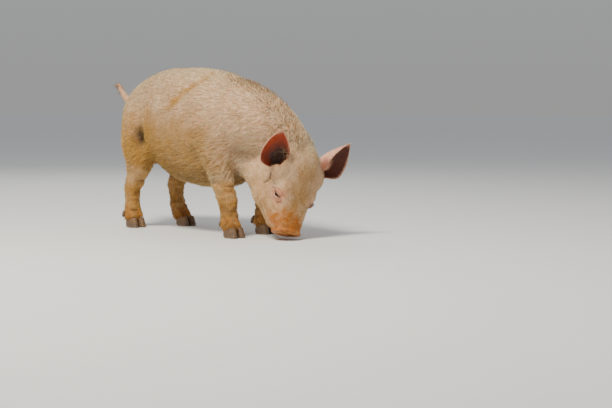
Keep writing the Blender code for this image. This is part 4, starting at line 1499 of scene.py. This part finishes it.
def thin_out(skin, settings, fine, part):
    """Takes triangles off, most of them from the trunk and legs, so that the face keeps its detail."""
    head = grouped(part)[0]
    along = in_head(coords(skin.data))[:, 1]
    detail = np.clip(head * ramp(0.05, 0.12, along) + part["ear_left"] + part["ear_right"], 0, 1)
    detail = np.maximum(detail, fine) > 0.3
    tris = triangles(skin.data)
    fixed = int(detail[tris].any(axis=1).sum())
    skin.vertex_groups.new(name="coarse").add([int(k) for k in np.flatnonzero(~detail)], 1.0, "REPLACE")
    # first the trunk and legs alone, then all of it evenly
    ratio = min((fixed + settings.body_triangles) / len(tris), 1.0)
    weights = {"vertex_group": "coarse", "vertex_group_factor": 4.0}
    modified(skin, "DECIMATE", ratio=ratio, use_collapse_triangulate=True, **weights)
    modified(skin, "DECIMATE", ratio=min(settings.triangles / len(triangles(skin.data)), 1.0))


class PIG_OT_skin(Operator):
    """Makes one skin over all the flesh, with its folds, lids and nostrils, and marks its colours"""

    bl_idname = "pig.make_skin"
    bl_label = "Skin"

    def execute(self, context):
        settings = context.scene.pig_skin
        pattern = unwrapped_pattern()
        skin = rough_skin(settings, pattern)
        fine, part = sculpt(skin, context.scene.pig_eyes)
        thin_out(skin, settings, fine, part)
        mesh = skin.data
        points, edges, facing = coords(mesh), edge_ends(mesh), normals(mesh)
        part = read_masks(mesh)
        # the coat changes slowly from one region to the next
        ears = grouped(part)[2]
        soft = spread(np.stack(list(part.values()), 1), edges, 40, 0.5 * (1 - ears))
        part = {name: part[name] if name.startswith("ear") else soft[:, k] for k, name in enumerate(part)}
        masks = markings(points, facing, part)
        lie = along_skin(spread(lie_of_coat(points, facing, part), edges, 30), facing)
        for key, value in masks.items():
            attribute(mesh, key, value)
        bare = np.clip(masks["snout_disc"] + masks["ear_red"] + masks["shade_and_soil"], 0, 1)
        attribute(mesh, "bare", bare)
        cross = np.cross(facing, lie)
        flow = np.stack([(points * cross).sum(1), (points * lie).sum(1), 0 * bare], 1)
        attribute(mesh, "flow", flow)
        mesh.shade_smooth()
        finished(skin, skin_material(), FLESH)
        store.update(skin=skin, pattern=pattern, part=part, masks=masks, lie=lie, flow=flow)
        return {"FINISHED"}


class PIG_OT_eyes(Operator):
    """Makes the two eyeballs, each with a slightly bulging cornea"""

    bl_idname = "pig.make_eyes"
    bl_label = "Eyes"

    def execute(self, context):
        for side, word in SIDES.items():
            centre, gaze, corner, upper = eye_axes(side)
            bpy.ops.object.select_all(action="DESELECT")
            bpy.ops.mesh.primitive_uv_sphere_add(segments=48, ring_count=32, radius=EYE_RADIUS)
            ball = context.object
            ball.name = ball.data.name = f"eyeball_{word}"
            points = coords(ball.data)
            bulge = 0.0009 * ramp(0.72, 0.92, points[:, 2] / EYE_RADIUS)
            points = points * (1 + bulge / EYE_RADIUS)[:, None]
            turn = np.stack([corner, upper, gaze])
            set_coords(ball.data, points @ turn + centre)
            bm = bmesh.new()
            bm.from_mesh(ball.data)
            bmesh.ops.recalc_face_normals(bm, faces=bm.faces)
            bm.to_mesh(ball.data)
            bm.free()
            ball.data.shade_smooth()
            finished(ball, eye_material(side), [f"eye_{word}"])
        return {"FINISHED"}


class PIG_OT_hoofs(Operator):
    """Makes the claws and dewclaws: rounded horn with growth rings and a worn edge"""

    bl_idname = "pig.make_hoofs"
    bl_label = "Hoofs"

    def execute(self, context):
        made = []
        voxel, ring_height = 0.0013, 0.0036
        for name in HORN:
            claw = node_copies([name], f"horn_{name}")
            modified(claw, "REMESH", mode="VOXEL", voxel_size=voxel)
            points, edges = coords(claw.data), edge_ends(claw.data)
            low, high = points[:, 2].min(), points[:, 2].max()
            points = spread(points, edges, 16, 0.5)
            set_coords(claw.data, points)
            facing = normals(claw.data)
            up = points[:, 2]
            main = name.startswith("claw")
            rings = np.sin(2 * math.pi * (up / ring_height + 0.9 * lumps(points, 0.022, 32)))
            lift = 0.00032 * rings * ramp(high, high - 0.004, up) * ramp(low + 0.003, low + 0.008, up)
            lift += 0.0006 + 0.0007 * main * bell(up, high - 0.003, 0.003)
            lift -= 0.0011 * ramp(0.25, 0.8, lumps(points, 0.006, 33)) * ramp(low + 0.009, low, up)
            points = points + facing * lift[:, None]
            points[:, 2] = np.maximum(points[:, 2], max(low, 0.0))
            set_coords(claw.data, points)
            made.append(claw)
        hoofs = joined(made, "hoofs")
        modified(hoofs, "DECIMATE", ratio=0.5)
        hoofs.data.shade_smooth()
        finished(hoofs, horn_material(), HORN)
        return {"FINISHED"}


def coat_ground():
    ground = Ground(store["skin"], store["pattern"])
    ground.lie = store["lie"]
    ground.values = {**store["masks"], "flow": store["flow"]}
    return ground


class PIG_OT_coat(Operator):
    """Grows the coat of bristles over the body, head, legs and ears"""

    bl_idname = "pig.grow_coat"
    bl_label = "Coat"

    def execute(self, context):
        settings = context.scene.pig_coat
        ground = coat_ground()
        part, masks = store["part"], store["masks"]
        points = ground.points
        a = in_head(points)[:, 1]
        up = points[:, 2]
        legs, feet = part["limb"], part["foot"]
        head, _, ears = grouped(part)
        body = np.clip(1 - legs - feet - head - ears, 0, 1)
        low = body * ramp(0.36, 0.24, up + 0.03 * lumps(points, 0.06, 7))
        bare = masks["snout_disc"] + masks["shade_and_soil"] * (1 - 0.8 * body) + 0.93 * masks["ear_red"]
        bare = np.clip(bare, 0, 1)
        eyes = np.minimum(*(distances(points, eye_axes(k)[0]) for k in SIDES))
        bare = np.maximum(bare, ramp(0.0155, 0.0125, eyes))
        per_metre = settings.density * PER_SQUARE_CM * 1.0
        density = per_metre * (1 - bare) * (1 - 0.5 * part["tail"])
        density = density * (body + 0.95 * legs + 0.9 * feet + 0.9 * head + 0.32 * ears)
        face = head * (0.60 + 0.35 * ramp(0.07, -0.01, a))
        long = settings.length * (body - 0.65 * part["tail"] + 0.45 * legs + 0.42 * feet + face + 0.45 * ears)
        long = long * (1 + 0.75 * low) * (1 - 0.45 * head * ramp(0.15, 0.22, a))
        lift = 8 * body + 11 * legs + 14 * feet + 11 * head + 8 * ears + 6 * low
        clump = 0.45 * body + 0.5 * legs + 0.5 * feet + 0.35 * head + 0.1 * ears + 0.5 * low
        ground.slender = 1.0 - 0.28 * head - 0.45 * ears - 0.25 * feet
        cream = coat_material("coat_cream", settings.cream)
        # where each piece grows, how its locks are stretched, and how wide they lie apart
        areas = {
            "coat_back": (body * (1 - low), (1, 0.3, 1), 1.0),
            "coat_flanks": (low, (1, 0.3, 1), 1.1),
            "coat_head": (head + ears, (1, 1, 0.3), 0.7),
            "coat_legs": (legs + feet, (1, 1, 0.3), 0.8),
        }
        for seed, (name, (where, grain, wide)) in enumerate(areas.items(), 31):
            bristles(
                ground, name, seed, density * np.clip(where, 0, 1), long, lift,
                settings.width, clump, cream, settings.clump * wide, grain,
            )
        return {"FINISHED"}


def lash_places(points, lie, eyes):
    """How thick the lashes grow at each place, and how hairs lie there: they fan out from the upper lid."""
    lashes = np.zeros(len(points))
    for k in SIDES:
        _, _, corner, upper = eye_axes(k)
        x, y, z, radius, off = eye_places(points, k, eyes)
        rim = (z > 0) * (radius < 0.02)
        rim = rim * ramp(0.0004, 0.0010, off) * ramp(0.0030, 0.0020, off) * ramp(-0.0005, 0.0008, y)
        lashes = np.maximum(lashes, rim)
        lie = np.where(rim[:, None] > 0, np.outer(x / eyes.opening * 0.7, corner) + upper, lie)
    return lashes, unit(lie)


def ear_hair_places(points, lie, part):
    """How thick hair grows inside the ears and on their rims, and how it lies there."""
    inside, rims = np.zeros(len(points)), np.zeros(len(points))
    for k in SIDES:
        _, axis, outward, opening = ear_axes(k)
        c, t, front, gap = ear_places(points, k)
        ear = ramp(0.3, 0.7, part[f"ear_{SIDES[k]}"]) * (gap < 0.01)
        ridge = ear * ramp(0.0, 0.001, front) * ramp(0.10, -0.20, c)
        ridge = ridge * ramp(0.0, 0.06, t) * ramp(0.50, 0.30, t)
        inside = np.maximum(inside, ridge)
        lie = np.where(ridge[:, None] > 0.01, outward * 0.8 + opening * 0.5 + axis * 0.35, lie)
        edge = ear * ramp(0.90, 0.97, np.maximum(np.abs(c), t)) * ramp(0.02, 0.1, t)
        rims = np.maximum(rims, edge)
        lie = np.where(edge[:, None] > 0.01, np.outer(np.sign(c), outward) * 0.5 + axis, lie)
    return inside, rims, unit(lie)


class PIG_OT_bristles(Operator):
    """Grows the long hair: crest, lashes, ears, fringe over the hoofs, tail and whiskers"""

    bl_idname = "pig.grow_bristles"
    bl_label = "Long bristles"

    def execute(self, context):
        settings = context.scene.pig_coat
        ground = coat_ground()
        part, masks = store["part"], store["masks"]
        points, facing = ground.points, ground.facing
        s, a, u = in_head(points).T
        away, forward, up = body_places(points)
        head = grouped(part)[0]
        body = np.clip(part["trunk"] + part["neck"] + part["shoulder"], 0, 1)
        dusky = coat_material("coat_dusky", settings.dusky, 0.25, 0.0)
        cream = coat_material("coat_cream", settings.cream)
        ground.slender = np.ones(len(points))

        def grow(name, seed, per_cm, where, material, **form):
            """Grows a piece with per_cm bristles to the square centimetre where the mask is 1."""
            bristles(ground, name, seed, per_cm * PER_SQUARE_CM * where, material=material, **form)

        ridge = np.clip(body + head * ramp(0.045, 0.0, a), 0, 1)
        crest = ridge * ramp(0.052, 0.020, away) * ramp(0.02, 0.20, forward)
        crest = crest * ramp(0.3, 0.6, facing @ (0, -0.5, 0.86))
        crest = np.maximum(crest, 0.28 * body * ramp(0.07, 0.03, away) * ramp(0.2, 0.6, facing[:, 2]))
        long = settings.crest * (0.45 + 0.55 * ramp(0.05, 0.24, forward))
        steep = 20 + 20 * crest
        grow(
            "crest", 61, 5.5, crest, dusky,
            length=long, lift=steep, half=0.00030, clump=0.45, spacing=0.006, grain=(1, 0.4, 1),
        )

        fringe = part["foot"] * ramp(0.026, 0.030, up) * ramp(0.052, 0.044, up)
        grow(
            "fringe", 62, 22, fringe, cream,
            length=0.015, lift=9, half=0.00030, clump=0.6, spacing=0.004, grain=(1, 1, 0.5),
        )

        highest = points[np.argmax(part["tail"] * up)]
        tip = part["tail"] * ramp(0.045, 0.0, distances(points, highest))
        grow("tail_hair", 63, 16, tip, dusky, length=0.020, lift=14, half=0.00030, clump=0.5, spacing=0.006)

        # dark hairs scattered over the brow, legs, hams and body: painted shade, standing in for the fine
        # shadows among the coat's hairs
        brow = 1 + 1.5 * ramp(0.045, 0.015, np.abs(s)) * ramp(0.03, 0.06, a)
        scattered = brow * head * ramp(0.22, 0.19, a) * ramp(-0.02, 0.02, a)
        scattered = scattered + part["limb"] + 0.7 * part["ham"] + 0.5 * body
        scattered = scattered * (1 - masks["shade_and_soil"]) * (1 - masks["ear_red"])
        grow(
            "scattered_hair", 68, 2.6, scattered, dusky,
            length=0.0085, lift=12, half=0.00022, clump=0.3, spacing=0.006,
        )

        whiskers = head * ramp(0.13, 0.20, a) * ramp(0.0, -0.03, u) + 0.25 * head * ramp(0.14, 0.2, a)
        whiskers = whiskers * (1 - masks["snout_disc"])
        grow("whiskers", 64, 1.0, whiskers, dusky, length=0.011, lift=38, half=0.00018, clump=0, spacing=0.01)

        lashes, ground.lie = lash_places(points, ground.lie, context.scene.pig_eyes)
        grow(
            "lashes", 65, 260, lashes, dusky,
            length=0.0075, lift=38, half=0.00017, clump=0.2, spacing=0.004, ragged=0.10, bend=-0.4,
        )

        inside, rims, ground.lie = ear_hair_places(points, store["lie"], part)
        bald = np.zeros(len(points))
        ground.values = {**ground.values, "shade_and_soil": bald, "ear_red": bald}
        tan = coat_material("coat_tan", settings.tan, 0.25, 0.0)
        grow(
            "ear_hair", 66, 7, inside, tan,
            length=0.017, lift=34, half=0.00030, clump=0.5, spacing=0.006, ragged=0.30,
        )
        grow(
            "ear_rim_hair", 67, 18, rims, cream,
            length=0.0065, lift=24, half=0.00020, clump=0.2, spacing=0.005,
        )
        return {"FINISHED"}


class PIG_OT_stage(Operator):
    """Sets the floor, the soft lights and the camera"""

    bl_idname = "pig.set_stage"
    bl_label = "Stage"

    def execute(self, context):
        settings = context.scene.pig_stage
        bpy.ops.object.select_all(action="DESELECT")
        bpy.ops.mesh.primitive_plane_add(size=120)
        floor = context.object
        floor.name = floor.data.name = "floor"
        board = new_board("studio_floor")
        grain = board.noise(board.place(), 3.0, 3, 0.5)
        base = board.mix(board.span(grain, 0.3, 0.7), settings.floor, shaded(settings.floor, 0.985))
        floor.data.materials.append(painted(board, {"Base Color": base, "Roughness": 0.9}))
        world = bpy.data.worlds.new("studio")
        context.scene.world = world
        world.use_nodes = True
        # down to the horizon the sky has the brightness of the far floor, so that no line parts them
        sky = Board(world.node_tree)
        rise = sky.span(sky.axes(sky.new("TexCoord").outputs["Generated"])["Z"], 0.0, 0.30)
        shade = sky.mix(rise, settings.horizon, settings.sky)
        sky.fed(sky.nodes["Background"], {"Color": shade, "Strength": 0.46})

        centre = Vector((*((CAD_BOX[0] + CAD_BOX[1]) / 2)[:2], 0.25))
        # name, place from the centre, width, power and tint
        lamps = (
            ("key", (-2.0, -0.7, 2.8), 1.1, 172.0, (1.0, 0.95, 0.82)),
            ("fill", (2.2, -2.8, 1.2), 2.4, 6.0, (0.92, 0.96, 1.0)),
            ("rim", (1.2, 2.6, 2.2), 1.6, 26.0, (1.0, 0.98, 0.95)),
        )
        for name, offset, width, power, tint in lamps:
            place = centre + Vector(offset)
            bpy.ops.object.light_add(type="AREA", location=place)
            lamp = context.object
            lamp.name = name
            lamp.data.shape = "DISK"
            lamp.data.size = width
            lamp.data.energy = power
            lamp.data.color = tint
            lamp.rotation_euler = (centre - place).to_track_quat("-Z", "Y").to_euler()

        # The camera stands as high as the pig's flank, off its right shoulder, and looks past its head.
        azimuth = math.radians(-40)
        back = Vector((math.sin(azimuth), -math.cos(azimuth), 0))
        right = Vector((math.cos(azimuth), math.sin(azimuth), 0))
        behind_head = Vector((-0.0550, 0.3280, 0))
        place = HEAD_ORIGIN + behind_head + back * settings.distance
        place.z = settings.height
        bpy.ops.object.camera_add(location=place)
        camera = context.object
        camera.name = "camera"
        yaw, pitch, roll = (math.radians(x) for x in (4.2651, 4.1226, 0.2304))
        look = (-back * math.cos(yaw) + right * math.sin(yaw)) * math.cos(pitch)
        look = look - Vector((0, 0, math.sin(pitch)))
        camera.rotation_mode = "QUATERNION"
        turn = look.to_track_quat("-Z", "Y").to_matrix() @ Matrix.Rotation(roll, 3, "Z")
        camera.rotation_quaternion = turn.to_quaternion()
        camera.data.lens = settings.lens
        camera.data.sensor_width = 36
        context.scene.camera = camera
        return {"FINISHED"}


class PIG_PT_panel(Panel):
    """Lists the steps that dress the pig"""

    bl_label = "Grazing pig"
    bl_idname = "PIG_PT_panel"
    bl_space_type = "VIEW_3D"
    bl_region_type = "UI"
    bl_category = "Pig"

    def draw(self, context):
        for operator in OPERATORS:
            self.layout.operator(operator.bl_idname, text=operator.bl_label)


OPERATORS = (PIG_OT_skin, PIG_OT_eyes, PIG_OT_hoofs, PIG_OT_coat, PIG_OT_bristles, PIG_OT_stage)
GROUPS = {
    "pig_skin": PigSkinSettings,
    "pig_coat": PigCoatSettings,
    "pig_eyes": PigEyeSettings,
    "pig_hoofs": PigHoofSettings,
    "pig_stage": PigStageSettings,
}


def register():
    for cls in (*GROUPS.values(), *OPERATORS, PIG_PT_panel):
        bpy.utils.register_class(cls)
    for name, cls in GROUPS.items():
        setattr(bpy.types.Scene, name, PointerProperty(type=cls))


def unregister():
    for name in GROUPS:
        delattr(bpy.types.Scene, name)
    for cls in reversed((*GROUPS.values(), *OPERATORS, PIG_PT_panel)):
        bpy.utils.unregister_class(cls)


def main():
    register()
    bpy.ops.pig.make_skin()
    bpy.ops.pig.make_eyes()
    bpy.ops.pig.make_hoofs()
    bpy.ops.pig.grow_coat()
    bpy.ops.pig.grow_bristles()
    bpy.ops.pig.set_stage()
    bpy.data.objects.remove(store["pattern"])
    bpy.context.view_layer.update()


if __name__ == "__main__":
    main()
